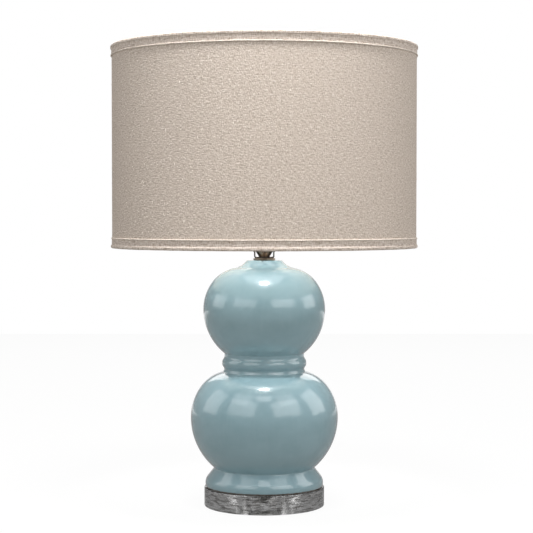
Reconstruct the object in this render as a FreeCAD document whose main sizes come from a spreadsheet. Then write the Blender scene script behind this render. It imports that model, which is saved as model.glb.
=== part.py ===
"""Double gourd table lamp: a glazed ceramic body on a clear acrylic disc, with a drum shade.

Millimetres, +Z up. The origin is the centre of the disc, on the surface that the lamp stands on.
The harp lies in the XZ plane, the switch knob faces -Y and the cord leaves the body at +Y.
"""
import FreeCAD, Part
import math
import os
import re

import Sketcher

os.makedirs("parts", exist_ok=True)
doc = FreeCAD.newDocument("GourdLamp")

# ---------------------------------------------------------------------------
# Driving dimensions
# ---------------------------------------------------------------------------

DIMENSIONS = {
    "Base": {
        "foot_rise": 1.2,             # clear bumpers under the disc
        "bumper_radius": 6.0,
        "bumper_circle": 62.0,
        "disc_radius": 80.4,
        "disc_thick": 25.0,
        "disc_round": 0.8,
        "recess_radius": 25.4,        # counterbore that hides the nut
        "recess_depth": 18.5,
        "washer_radius": 16.0,
        "washer_thick": 2.0,
        "spring_washer_radius": 9.0,
        "spring_washer_thick": 1.6,
        "spring_washer_slit": 1.8,
        "nut_flats": 15.9,
        "nut_thick": 5.2,
        "nut_chamfer": 0.6,
        "pipe_radius": 4.95,
        "pipe_bore": 3.6,
        "pipe_tail": 4.0,             # pipe below the nut
        "pipe_top": 346.0,
        "pipe_chamfer": 0.5,
        "thread_gap": 0.05,
        "pipe_gap": 0.4,
    },
    "Ceramic": {
        "wall": 6.0,
        "foot_bevel_radius": 76.2,    # unglazed edge of the foot ring
        "foot_bevel": 1.8,
        "foot_ring_inner": 70.0,
        "foot_ring_rise": 3.0,
        "foot_radius": 79.0,
        "foot_middle": 31.8,
        "foot_curve": 13.5,
        "foot_turn": 40.0,
        "throat_radius": 68.2,
        "throat_height": 50.3,
        "throat_curve": 2.0,
        "low_radius": 98.5,           # lower gourd
        "low_middle": 119.6,
        "low_under": 88.4,
        "low_under_turn": 48.8,
        "low_over": 69.9,
        "low_over_turn": 36.0,
        "low_shoulder": 52.5,
        "low_shoulder_turn": 76.4,
        "waist_radius": 53.6,         # belt between the two gourds
        "belt_low": 184.2,
        "belt_high": 203.6,
        "belt_middle": 192.6,
        "belt_radius": 56.6,
        "belt_bead": 9.0,
        "belt_bead_turn": 42.0,
        "belt_cove": 8.0,
        "up_radius": 81.7,            # upper gourd
        "up_middle": 264.3,
        "up_under": 75.5,
        "up_under_turn": 51.4,
        "up_over": 61.8,
        "up_over_turn": 36.3,
        "up_shoulder": 47.5,
        "up_shoulder_turn": 80.0,
        "neck_curve": 24.9,
        "neck_turn": 40.0,
        "collar_top": 330.0,
        "collar_radius": 24.5,
        "collar_round": 4.0,
        "collar_hole": 7.0,
        "floor_hole": 8.0,
        "cord_turn": 37.3,            # where the cord leaves, below the widest line
        "bushing_bore": 4.0,
        "bushing_radius": 6.0,
        "bushing_flange": 8.5,
        "bushing_flange_thick": 2.0,
        "bushing_length": 9.0,
        "bushing_barb": 6.9,
    },
    "Neck": {
        "check_radius": 14.65,
        "check_thick": 2.5,
        "check_round": 1.0,
        "neck_hole": 5.3,
        "saddle_half": 13.65,
        "saddle_thick": 1.8,
        "saddle_width": 16.0,
        "saddle_bend": 3.0,
        "saddle_knee": 340.5,
        "post_reach": 28.6,           # prongs and harp legs, from the axis
        "post_radius": 2.4,
        "post_top": 372.0,
        "tab_end": 32.0,
        "cap_foot": 7.0,
        "cap_cone": 10.7,
        "cap_cone_height": 340.4,
        "cap_radius": 17.5,
        "cap_bell_height": 351.0,
        "cap_bell_curve": 24.0,
        "cap_top": 357.0,
        "cap_wall": 0.8,
        "cap_hub_top": 343.5,
        "set_screw_radius": 1.7,
        "set_screw_height": 339.0,
        "set_screw_length": 5.0,
    },
    "Socket": {
        "shell_radius": 16.5,
        "shell_wall": 0.6,
        "shell_low": 353.0,
        "shell_top": 399.0,
        "sleeve_radius": 15.8,
        "sleeve_wall": 0.9,
        "sleeve_low": 354.5,
        "sleeve_top": 397.5,
        "core_radius": 14.6,
        "core_low": 356.0,
        "core_top": 374.0,
        "core_flat": 11.0,
        "core_bore": 3.0,
        "screw_shell_radius": 14.0,
        "screw_shell_wall": 0.5,
        "screw_shell_top": 396.5,
        "contact_radius": 3.2,
        "contact_rise": 1.6,
        "terminal_head": 3.0,
        "terminal_head_thick": 1.8,
        "terminal_shank": 1.6,
        "terminal_depth": 5.0,
        "terminal_height": 365.0,
        "switch_height": 365.0,
        "shaft_radius": 2.4,
        "shaft_gap": 0.05,
        "shaft_seat": 9.0,
        "shaft_hole": 3.2,
        "knob_back": 19.5,
        "knob_length": 15.0,
        "knob_radius": 7.2,
        "knob_flute": 1.1,
        "knob_depth": 10.0,
        "knob_round": 1.2,
    },
    "Harp": {
        "harp_straight": 396.0,
        "harp_out_curve": 12.0,
        "harp_out_turn": 50.0,
        "harp_run": 14.0,
        "harp_hip_curve": 30.0,
        "harp_hip_turn": 5.0,
        "harp_side_curve": 400.0,
        "harp_top": 584.0,
        "harp_flat": 10.0,
        "seat_radius": 7.0,
        "seat_low": 579.0,
        "seat_top": 589.0,
        "stud_radius": 3.1,
        "stud_top": 604.0,
        "ferrule_low": 359.5,
        "ferrule_length": 18.0,
        "ferrule_radius": 4.2,
        "ferrule_bore": 2.7,
        "ferrule_round": 0.6,
    },
    "Shade": {
        "shade_low": 346.5,
        "shade_top": 613.7,
        "fabric_radius": 202.6,
        "fabric_thick": 0.7,
        "liner_thick": 0.6,
        "trim_radius": 204.3,
        "trim_band": 14.0,
        "trim_lip": 0.8,
        "trim_inner": 198.0,
        "trim_tuck": 6.5,
        "trim_notch": 6.0,
        "ring_radius": 199.7,
        "ring_wire": 1.5,
        "ring_inset": 2.4,
        "hub_radius": 12.5,
        "hub_hole": 3.7,
        "hub_low": 589.2,
        "hub_thick": 1.6,
        "arm_wire": 1.6,
        "arm_bend_radius": 186.0,
        "arm_bend_curve": 8.0,
        "arm_end_radius": 198.4,
        "arm_rise_turn": 30.0,
    },
    "Finial": {
        "finial_low": 591.0,
        "insert_radius": 4.6,
        "insert_top": 602.0,
        "insert_bore": 3.2,
        "finial_flange": 7.0,
        "finial_flange_thick": 2.0,
        "finial_stem": 6.4,
        "finial_neck": 5.5,
        "finial_neck_height": 603.0,
        "finial_ball": 12.7,
        "finial_ball_middle": 615.5,
        "finial_socket_top": 607.5,
    },
    "Bulb": {
        "bulb_cap_radius": 13.0,
        "bulb_cap_wall": 0.6,
        "bulb_cap_low": 379.0,
        "bulb_cap_top": 401.0,
        "bulb_cone_radius": 7.0,
        "bulb_contact_radius": 4.5,
        "bulb_contact_low": 376.0,
        "bulb_neck": 12.6,
        "bulb_radius": 30.0,
        "bulb_middle": 453.5,
        "bulb_neck_curve": 48.0,
        "bulb_wall": 1.0,
    },
}

sheet = doc.addObject("Spreadsheet::Sheet", "Lamp")
row = 1
for heading, sizes in DIMENSIONS.items():
    sheet.set(f"A{row}", heading)
    row += 1
    for alias, size in sizes.items():
        sheet.set(f"A{row}", alias.replace("_", " "))
        sheet.set(f"B{row}", str(size))
        sheet.setAlias(f"B{row}", alias)
        row += 1
doc.recompute()

# ---------------------------------------------------------------------------
# Helpers: sketches and features whose sizes are expressions on the sheet
# ---------------------------------------------------------------------------

# What repeats in the outlines: heights that several pieces share.
SHARED = {
    "disc_top": "(foot_rise + disc_thick)",
    "web_low": "(foot_rise + recess_depth)",
    "washer_low": "(foot_rise + recess_depth - washer_thick)",
    "spring_low": "(foot_rise + recess_depth - washer_thick - spring_washer_thick)",
    "nut_low": "(foot_rise + recess_depth - washer_thick - spring_washer_thick - nut_thick)",
    "saddle_low": "(collar_top + check_thick)",
    "cap_low": "(collar_top + check_thick + saddle_thick)",
    "arm_level": "(hub_low + hub_thick / 2)",
}
NAME = re.compile(r"[a-z]\w*(?!\w*\()")


def bound(text):
    """Turn a formula of plain names into an expression on the sheet."""
    for name, formula in SHARED.items():
        text = re.sub(rf"\b{name}\b", formula, text)
    return NAME.sub(lambda found: "Lamp." + found.group(0), text)


def value(text):
    """The number that a formula gives."""
    return float(sheet.evalExpression(bound(text)))


def new_body(label):
    body = doc.addObject("PartDesign::Body", label)
    body.Label = label
    return body


def sketch_on(body, role, height=None):
    """A sketch on one of the body's own origin planes, raised along its normal where height says."""
    sketch = body.newObject("Sketcher::SketchObject", f"{body.Label}_sketch")
    plane = next(item for item in body.Origin.OriginFeatures if item.Role == role)
    sketch.AttachmentSupport = [(plane, "")]
    sketch.MapMode = "FlatFace"
    if height:
        sketch.setExpression("AttachmentOffset.Base.z", bound(height))
    return sketch


def hold(sketch, kind, formula, *places):
    """A dimension constraint that follows the sheet."""
    index = sketch.addConstraint(Sketcher.Constraint(kind, *places, value(formula)))
    sketch.setExpression(f"Constraints[{index}]", bound(formula))


def hold_point(sketch, geometry, end, x_formula, y_formula):
    for kind, formula in (("DistanceX", x_formula), ("DistanceY", y_formula)):
        hold(sketch, kind, formula, -1, 1, geometry, end)


def arc_between(start, finish, radius, bend):
    """An arc whose centre is left or right of the way from start to finish."""
    chord = finish - start
    side = 1 if bend == "left" else -1
    across = FreeCAD.Vector(-chord.y, chord.x, 0).normalize() * side
    rise = math.sqrt(max(radius * radius - chord.Length ** 2 / 4, 0.0))
    centre = (start + finish) * 0.5 + across * rise
    return Part.Arc(start, centre - across * radius, finish)


def outline(sketch, corners, closed=True):
    """Lines and arcs through corners: (x, y), or (x, y, radius, bend) for an arc that ends there."""
    points = [FreeCAD.Vector(value(corner[0]), value(corner[1]), 0) for corner in corners]
    first = 0 if closed else 1
    ends = []
    for index in range(first, len(corners)):
        start, finish, corner = points[index - 1], points[index], corners[index]
        if len(corner) == 4:
            geometry = sketch.addGeometry(arc_between(start, finish, value(corner[2]), corner[3]))
        else:
            geometry = sketch.addGeometry(Part.LineSegment(start, finish))
        forward = (sketch.getPoint(geometry, 1) - start).Length < (sketch.getPoint(geometry, 2) - start).Length
        ends.append((geometry, 1, 2) if forward else (geometry, 2, 1))
        if len(corner) == 4:
            hold(sketch, "Radius", corner[2], geometry)
    for index in range(1, len(ends)):
        sketch.addConstraint(Sketcher.Constraint(
            "Coincident", ends[index - 1][0], ends[index - 1][2], ends[index][0], ends[index][1]))
    if closed:
        sketch.addConstraint(Sketcher.Constraint(
            "Coincident", ends[-1][0], ends[-1][2], ends[0][0], ends[0][1]))
    else:
        hold_point(sketch, ends[0][0], ends[0][1], corners[0][0], corners[0][1])
    for corner, (geometry, _, end) in zip(corners[first:], ends):
        hold_point(sketch, geometry, end, corner[0], corner[1])


def circle(sketch, radius, x_formula="0", y_formula="0"):
    centre = FreeCAD.Vector(value(x_formula), value(y_formula), 0)
    geometry = sketch.addGeometry(Part.Circle(centre, FreeCAD.Vector(0, 0, 1), value(radius)))
    hold(sketch, "Radius", radius, geometry)
    hold_point(sketch, geometry, 3, x_formula, y_formula)


def turned(label, corners):
    """A piece turned about Z from an outline of (radius, height)."""
    body = new_body(label)
    sketch = sketch_on(body, "XZ_Plane")
    outline(sketch, corners)
    revolution = body.newObject("PartDesign::Revolution", f"{label}_turn")
    revolution.Profile = sketch
    revolution.ReferenceAxis = (sketch, ["V_Axis"])
    revolution.Angle = 360
    return body


def pad(body, sketch, length, midplane=False):
    feature = body.newObject("PartDesign::Pad", f"{body.Label}_pad")
    feature.Profile = sketch
    feature.setExpression("Length", bound(length))
    feature.Midplane = midplane
    return feature


CUTS = []                             # each pocket with the feature it has to take material from


def pocket(body, sketch, length, reverse=False, midplane=False):
    base = body.Tip
    feature = body.newObject("PartDesign::Pocket", f"{body.Label}_pocket")
    CUTS.append((feature, base))
    feature.Profile = sketch
    feature.setExpression("Length", bound(length))
    feature.Reversed = reverse
    feature.Midplane = midplane
    return feature


def repeat_round(body, features, role, count):
    """Repeat features about one of the body's axes."""
    axis = next(item for item in body.Origin.OriginFeatures if item.Role == role)
    pattern = body.newObject("PartDesign::PolarPattern", f"{body.Label}_round")
    pattern.Originals = features
    pattern.Axis = (axis, [""])
    pattern.Angle = 360
    pattern.Occurrences = count
    body.Tip = pattern
    return pattern


def mirror_x(body, features):
    """Mirror features across the YZ plane."""
    plane = next(item for item in body.Origin.OriginFeatures if item.Role == "YZ_Plane")
    mirrored = body.newObject("PartDesign::Mirrored", f"{body.Label}_mirror")
    mirrored.Originals = features
    mirrored.MirrorPlane = (plane, [""])
    body.Tip = mirrored
    return mirrored


def edges_where(feature, test):
    """Names of a feature's edges that pass a test on their bounding box and curve."""
    edges = feature.Shape.Edges
    return [f"Edge{index + 1}" for index, edge in enumerate(edges) if test(edge)]


def dress(body, kind, feature, size, test):
    """A Fillet or Chamfer on the edges that pass the test."""
    doc.recompute()
    result = body.newObject(f"PartDesign::{kind}", f"{body.Label}_{kind.lower()}")
    result.Base = (feature, edges_where(feature, test))
    result.setExpression("Radius" if kind == "Fillet" else "Size", bound(size))
    body.Tip = result
    return result


def is_circle_of(radius):
    size = value(radius)
    return lambda edge: hasattr(edge.Curve, "Radius") and abs(edge.Curve.Radius - size) < 1e-6


def cylinder(name, radius, height, placement):
    solid = doc.addObject("Part::Cylinder", name)
    solid.setExpression("Radius", bound(radius))
    solid.setExpression("Height", bound(height))
    solid.Placement = placement
    return solid


def cut(label, base, tool):
    result = doc.addObject("Part::Cut", label)
    result.Label = label
    result.Base = base
    result.Tool = tool
    return result


def placed(x, y, z, axis=(0, 0, 1), angle=0.0):
    return FreeCAD.Placement(FreeCAD.Vector(x, y, z), FreeCAD.Rotation(FreeCAD.Vector(*axis), angle))


# ---------------------------------------------------------------------------
# Base: clear disc, bumpers and the hardware in its counterbore
# ---------------------------------------------------------------------------

def base_feet():
    body = new_body("base_feet")
    body.AllowCompound = True
    sketch = sketch_on(body, "XY_Plane")
    for x_sign in ("", "-"):
        for y_sign in ("", "-"):
            circle(sketch, "bumper_radius", f"{x_sign}bumper_circle * cos(45)", f"{y_sign}bumper_circle * sin(45)")
    pad(body, sketch, "foot_rise")
    return body


def base_disc():
    body = new_body("base_disc")
    blank = sketch_on(body, "XY_Plane", "foot_rise")
    circle(blank, "disc_radius")
    disc = pad(body, blank, "disc_thick")
    recess = sketch_on(body, "XY_Plane", "foot_rise")
    circle(recess, "recess_radius")
    pocket(body, recess, "recess_depth", reverse=True)
    hole = sketch_on(body, "XY_Plane", "foot_rise")
    circle(hole, "pipe_radius + pipe_gap")
    bored = pocket(body, hole, "disc_thick", reverse=True)
    dress(body, "Fillet", bored, "disc_round", is_circle_of("disc_radius"))
    return body


def ring(label, outer, inner, low, thick):
    """A flat washer."""
    body = new_body(label)
    sketch = sketch_on(body, "XY_Plane", low)
    circle(sketch, outer)
    circle(sketch, inner)
    pad(body, sketch, thick)
    return body


def spring_washer():
    body = ring("lock_washer", "spring_washer_radius", "pipe_radius + pipe_gap", "spring_low", "spring_washer_thick")
    slit = sketch_on(body, "XY_Plane", "spring_low")
    outline(slit, [("0", "-spring_washer_slit / 2"), ("spring_washer_radius + 1", "-spring_washer_slit / 2"),
                   ("spring_washer_radius + 1", "spring_washer_slit / 2"), ("0", "spring_washer_slit / 2")])
    pocket(body, slit, "spring_washer_thick", reverse=True)
    return body


def base_nut():
    body = new_body("base_nut")
    sketch = sketch_on(body, "XY_Plane", "nut_low")
    corner = "nut_flats / 2 / cos(30)"
    outline(sketch, [(f"{corner} * cos({60 * step})", f"{corner} * sin({60 * step})") for step in range(6)])
    circle(sketch, "pipe_radius + thread_gap")
    blank = pad(body, sketch, "nut_thick")
    dress(body, "Chamfer", blank, "nut_chamfer", is_circle_of("pipe_radius + thread_gap"))
    return body


def lamp_pipe():
    low = "(nut_low - pipe_tail)"
    return turned("lamp_pipe", [
        ("pipe_bore", low), ("pipe_radius - pipe_chamfer", low), ("pipe_radius", f"{low} + pipe_chamfer"),
        ("pipe_radius", "pipe_top - pipe_chamfer"), ("pipe_radius - pipe_chamfer", "pipe_top"),
        ("pipe_bore", "pipe_top")])


# ---------------------------------------------------------------------------
# Ceramic body: two gourds, with a belt between them, on a flared foot
# ---------------------------------------------------------------------------

# Centres of the outline's arcs, as (radius, height).
LOW_OVER = ("(low_radius - low_over)", "low_middle")
LOW_UNDER = ("(low_radius - low_under)", "low_middle")
LOW_SHOULDER = ("(low_radius - low_over + (low_over - low_shoulder) * cos(low_over_turn))",
                "(low_middle + (low_over - low_shoulder) * sin(low_over_turn))")
UP_OVER = ("(up_radius - up_over)", "up_middle")
UP_UNDER = ("(up_radius - up_under)", "up_middle")
UP_SHOULDER = ("(up_radius - up_over + (up_over - up_shoulder) * cos(up_over_turn))",
               "(up_middle + (up_over - up_shoulder) * sin(up_over_turn))")
NECK = (f"({UP_SHOULDER[0]} + (up_shoulder + neck_curve) * cos(up_shoulder_turn))",
        f"({UP_SHOULDER[1]} + (up_shoulder + neck_curve) * sin(up_shoulder_turn))")


def on_arc(centre, radius, turn):
    """A point on an arc, by its angle above the horizontal."""
    return f"{centre[0]} + ({radius}) * cos({turn})", f"{centre[1]} + ({radius}) * sin({turn})"


def ceramic_body():
    inner_floor = "(disc_top + foot_ring_rise + wall)"
    foot_end = on_arc(("(foot_radius - foot_curve)", "foot_middle"), "foot_curve", "foot_turn")
    belt = ("(belt_radius - belt_bead)", "belt_middle")
    collar = ("(collar_radius - collar_round * sin(90 - neck_turn))", "(collar_top - collar_round)")
    outside = [
        ("foot_ring_inner", "disc_top"),
        ("foot_bevel_radius", "disc_top"),
        ("foot_radius - foot_curve + sqrt(foot_curve ^ 2 - (foot_middle - disc_top - foot_bevel) ^ 2)",
         "disc_top + foot_bevel"),
        (*foot_end, "foot_curve", "left"),
        ("throat_radius", "throat_height"),
        (*on_arc(LOW_UNDER, "low_under", "-low_under_turn"), "throat_curve", "right"),
        ("low_radius", "low_middle", "low_under", "left"),
        (*on_arc(LOW_OVER, "low_over", "low_over_turn"), "low_over", "left"),
        (*on_arc(LOW_SHOULDER, "low_shoulder", "low_shoulder_turn"), "low_shoulder", "left"),
        ("waist_radius", "belt_low"),
        (*on_arc(belt, "belt_bead", "-belt_bead_turn"), "belt_cove", "right"),
        (*on_arc(belt, "belt_bead", "belt_bead_turn"), "belt_bead", "left"),
        ("waist_radius", "belt_high", "belt_cove", "right"),
        on_arc(UP_UNDER, "up_under", "-up_under_turn"),
        ("up_radius", "up_middle", "up_under", "left"),
        (*on_arc(UP_OVER, "up_over", "up_over_turn"), "up_over", "left"),
        (*on_arc(UP_SHOULDER, "up_shoulder", "up_shoulder_turn"), "up_shoulder", "left"),
        (*on_arc(NECK, "neck_curve", "180 + neck_turn"), "neck_curve", "right"),
        on_arc(collar, "collar_round", "neck_turn"),
        (collar[0], "collar_top", "collar_round", "left"),
        ("collar_hole", "collar_top"),
    ]
    inside = [
        ("collar_hole", "collar_top - wall * 1.3"),
        ("collar_radius - wall", "collar_top - wall * 1.3"),
        on_arc(UP_SHOULDER, "up_shoulder - wall", "up_shoulder_turn - 14"),
        (*on_arc(UP_OVER, "up_over - wall", "up_over_turn"), "up_shoulder - wall", "right"),
        ("up_radius - wall", "up_middle", "up_over - wall", "right"),
        (*on_arc(UP_UNDER, "up_under - wall", "5 - up_under_turn"), "up_under - wall", "right"),
        ("waist_radius - wall", "belt_high"),
        ("waist_radius - wall", "belt_low"),
        on_arc(LOW_SHOULDER, "low_shoulder - wall", "low_shoulder_turn - 6"),
        (*on_arc(LOW_OVER, "low_over - wall", "low_over_turn"), "low_shoulder - wall", "right"),
        ("low_radius - wall", "low_middle", "low_over - wall", "right"),
        (*on_arc(LOW_UNDER, "low_under - wall", "3 - low_under_turn"), "low_under - wall", "right"),
        ("throat_radius - wall", "throat_height"),
        ("foot_ring_inner", f"{foot_end[1]}"),
        ("foot_ring_inner", inner_floor),
        ("floor_hole", inner_floor),
        ("floor_hole", "disc_top + foot_ring_rise"),
        ("foot_ring_inner", "disc_top + foot_ring_rise"),
    ]
    return turned("ceramic_blank", outside + inside)


def cord_outlet():
    """Place of the cord outlet: on the lower gourd's skin, pointing out square to it."""
    radius, height = on_arc(LOW_UNDER, "low_under", "-cord_turn")
    tilt = 90 + value("cord_turn")
    return placed(0, value(radius), value(height), (-1, 0, 0), tilt)


def ceramic_with_hole():
    inward = placed(0, 0, -value("wall") * 2)
    drill = cylinder("cord_drill", "bushing_radius + 0.3", "wall * 4", cord_outlet().multiply(inward))
    return cut("ceramic_body", ceramic_body(), drill)


def cord_bushing():
    """A snap-in grommet: flange outside, barb inside the wall."""
    body = turned("cord_bushing", [
        ("bushing_bore", "-bushing_length"), ("bushing_radius", "-bushing_length"),
        ("bushing_barb", "-bushing_length + 1.8"), ("bushing_radius", "-bushing_length + 1.8"),
        ("bushing_radius", "0.4"), ("bushing_flange", "0.4"),
        ("bushing_flange", "bushing_flange_thick - 0.8"),
        ("bushing_flange - 1.2", "bushing_flange_thick + 0.4", "1.2", "left"),
        ("bushing_bore + 0.8", "bushing_flange_thick + 0.4"),
        ("bushing_bore", "bushing_flange_thick - 0.4", "0.8", "left")])
    body.Placement = cord_outlet()
    return body


# ---------------------------------------------------------------------------
# Neck: check ring, harp saddle and socket cap
# ---------------------------------------------------------------------------

def check_ring():
    top = "(collar_top + check_thick)"
    return turned("check_ring", [
        ("neck_hole", "collar_top"), ("check_radius - check_round", "collar_top"),
        ("check_radius", "collar_top + check_round", "check_round", "left"),
        ("check_radius", f"{top} - check_round"),
        ("check_radius - check_round", top, "check_round", "left"),
        ("neck_hole", top)])


def harp_saddle():
    """A bent strip: flat bottom, upright sides, arms that flare at 45 degrees, and two prongs."""
    body = new_body("harp_saddle")
    strip = sketch_on(body, "XZ_Plane")
    reach = "(post_reach - post_radius - saddle_half)"
    inner = "(saddle_half - saddle_thick)"
    inner_bend = "(saddle_bend - saddle_thick)"
    tab = f"(saddle_knee + {reach})"
    mitre = "saddle_thick * tan(22.5)"
    outline(strip, [
        ("0", "saddle_low"), ("saddle_half - saddle_bend", "saddle_low"),
        ("saddle_half", "saddle_low + saddle_bend", "saddle_bend", "left"),
        ("saddle_half", "saddle_knee"), (f"saddle_half + {reach}", tab), ("tab_end", tab),
        ("tab_end", f"{tab} + saddle_thick"), (f"saddle_half + {reach} - {mitre}", f"{tab} + saddle_thick"),
        (inner, f"saddle_knee + {mitre}"), (inner, "saddle_low + saddle_bend"),
        (f"{inner} - {inner_bend}", "saddle_low + saddle_thick", inner_bend, "right"),
        ("0", "saddle_low + saddle_thick")])
    arm = pad(body, strip, "saddle_width", midplane=True)
    post = sketch_on(body, "XY_Plane", f"{tab} + saddle_thick / 2")
    circle(post, "post_radius", "post_reach")
    prong = pad(body, post, f"post_top - {tab} - saddle_thick / 2")
    mirror_x(body, [arm, prong])
    hole = sketch_on(body, "XY_Plane", "saddle_low")
    circle(hole, "neck_hole")
    pocket(body, hole, "saddle_thick", reverse=True)
    body.Tip = body.Group[-1]
    return body


def socket_cap():
    """A turned hub on the pipe that opens into a thin bell, tapped at the back for its set screw."""
    inner = "(cap_radius - cap_wall)"
    blank = turned("socket_cap_blank", [
        ("pipe_radius + thread_gap", "cap_low"), ("cap_foot", "cap_low"), ("cap_cone", "cap_cone_height"),
        ("cap_radius", "cap_bell_height", "cap_bell_curve", "left"), ("cap_radius", "cap_top"),
        (inner, "cap_top"), (inner, "cap_bell_height"),
        ("cap_cone - cap_wall", "cap_hub_top", "cap_bell_curve", "right"),
        ("pipe_radius + thread_gap", "cap_hub_top")])
    drill = cylinder("set_screw_drill", "set_screw_radius + thread_gap", "cap_radius",
                     placed(0, value("pipe_radius"), value("set_screw_height"), (-1, 0, 0), 90))
    return cut("socket_cap", blank, drill)


def cap_set_screw():
    """A slotted grub screw behind the hub, clamped on the pipe."""
    body = new_body("cap_set_screw")
    shank = sketch_on(body, "XZ_Plane", "-pipe_radius - thread_gap")
    circle(shank, "set_screw_radius", "0", "set_screw_height")
    grub = pad(body, shank, "set_screw_length")
    grub.Reversed = True
    slot = sketch_on(body, "XZ_Plane", "-pipe_radius - thread_gap - set_screw_length")
    outline(slot, [("-3", "set_screw_height - 0.3"), ("3", "set_screw_height - 0.3"),
                   ("3", "set_screw_height + 0.3"), ("-3", "set_screw_height + 0.3")])
    pocket(body, slot, "1.2", reverse=True)
    return body


# ---------------------------------------------------------------------------
# Lamp socket and its switch
# ---------------------------------------------------------------------------

def tube(label, outer, wall, low, top):
    """A thin round tube, upright on the axis."""
    return turned(label, [
        (f"{outer} - {wall}", low), (outer, low), (outer, top), (f"{outer} - {wall}", top)])


def cross_hole(body, radius, height, length):
    """A round hole through a body's front wall, along Y."""
    sketch = sketch_on(body, "XZ_Plane")
    circle(sketch, radius, "0", height)
    pocket(body, sketch, length, reverse=True)
    return body


def socket_shell():
    return cross_hole(tube("socket_shell", "shell_radius", "shell_wall", "shell_low", "shell_top"),
                      "shaft_hole", "switch_height", "shell_radius + 1")


def socket_sleeve():
    return cross_hole(tube("socket_insulator", "sleeve_radius", "sleeve_wall", "sleeve_low", "sleeve_top"),
                      "shaft_hole", "switch_height", "sleeve_radius + 1")


def socket_core():
    """The moulded interior: flats for the terminal screws and a bore for the switch shaft."""
    body = new_body("socket_core")
    sketch = sketch_on(body, "XY_Plane", "core_low")
    circle(sketch, "core_radius")
    circle(sketch, "core_bore")
    pad(body, sketch, "core_top - core_low")
    flats = sketch_on(body, "XY_Plane", "core_low")
    outline(flats, [("core_flat", "-core_radius"), ("core_radius + 1", "-core_radius"),
                    ("core_radius + 1", "core_radius"), ("core_flat", "core_radius")])
    flat = pocket(body, flats, "core_top - core_low - 2", reverse=True)
    mirror_x(body, [flat])
    bore = sketch_on(body, "XZ_Plane")
    circle(bore, "shaft_radius + shaft_gap", "0", "switch_height")
    pocket(body, bore, "core_radius + 1", reverse=True)
    screws = sketch_on(body, "YZ_Plane")
    circle(screws, "terminal_shank + thread_gap", "0", "terminal_height")
    pocket(body, screws, "core_radius * 2 + 2", midplane=True)
    body.Tip = body.Group[-1]
    return body


def screw_shell():
    return tube("screw_shell", "screw_shell_radius", "screw_shell_wall", "core_top", "screw_shell_top")


def centre_contact():
    return turned("centre_contact", [
        ("0", "core_top"), ("contact_radius", "core_top"), ("contact_radius", "core_top + contact_rise / 2"),
        ("contact_radius / 2", "core_top + contact_rise"), ("0", "core_top + contact_rise")])


def terminal_screws():
    """Two binding screws, one on each flat of the core."""
    body = new_body("terminal_screws")
    body.AllowCompound = True
    head = sketch_on(body, "YZ_Plane", "core_flat")
    circle(head, "terminal_head", "0", "terminal_height")
    right_head = pad(body, head, "terminal_head_thick")
    shank = sketch_on(body, "YZ_Plane", "core_flat - terminal_depth")
    circle(shank, "terminal_shank", "0", "terminal_height")
    right_shank = pad(body, shank, "terminal_depth")
    slot = sketch_on(body, "YZ_Plane", "core_flat + terminal_head_thick - 0.8")
    outline(slot, [("-terminal_head - 1", "terminal_height - 0.35"), ("terminal_head + 1", "terminal_height - 0.35"),
                   ("terminal_head + 1", "terminal_height + 0.35"), ("-terminal_head - 1", "terminal_height + 0.35")])
    right_slot = pocket(body, slot, "1", reverse=True)
    mirror_x(body, [right_head, right_shank, right_slot])
    return body


def switch_shaft():
    body = new_body("switch_shaft")
    sketch = sketch_on(body, "XZ_Plane", "shaft_seat")
    circle(sketch, "shaft_radius", "0", "switch_height")
    pad(body, sketch, "knob_back + knob_depth - shaft_seat")
    return body


def switch_knob():
    """A fluted knob with a blind bore for the shaft."""
    body = new_body("switch_knob")
    sketch = sketch_on(body, "XZ_Plane", "knob_back")
    circle(sketch, "knob_radius", "0", "switch_height")
    blank = pad(body, sketch, "knob_length")
    rounded = dress(body, "Fillet", blank, "knob_round",
                    lambda edge: abs(edge.BoundBox.Center.y + value("knob_back + knob_length")) < 0.01)
    bore = sketch_on(body, "XZ_Plane", "knob_back")
    circle(bore, "shaft_radius", "0", "switch_height")
    pocket(body, bore, "knob_depth", reverse=True)
    flutes = 12
    for step in range(flutes):
        flute = sketch_on(body, "XZ_Plane", "knob_back")
        turn = 360 / flutes * step
        circle(flute, "knob_flute", f"(knob_radius + 0.5) * cos({turn})",
               f"switch_height + (knob_radius + 0.5) * sin({turn})")
        pocket(body, flute, "knob_length", reverse=True)
    body.Tip = body.Group[-1]
    return body


# ---------------------------------------------------------------------------
# Harp, which carries the shade
# ---------------------------------------------------------------------------

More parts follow.
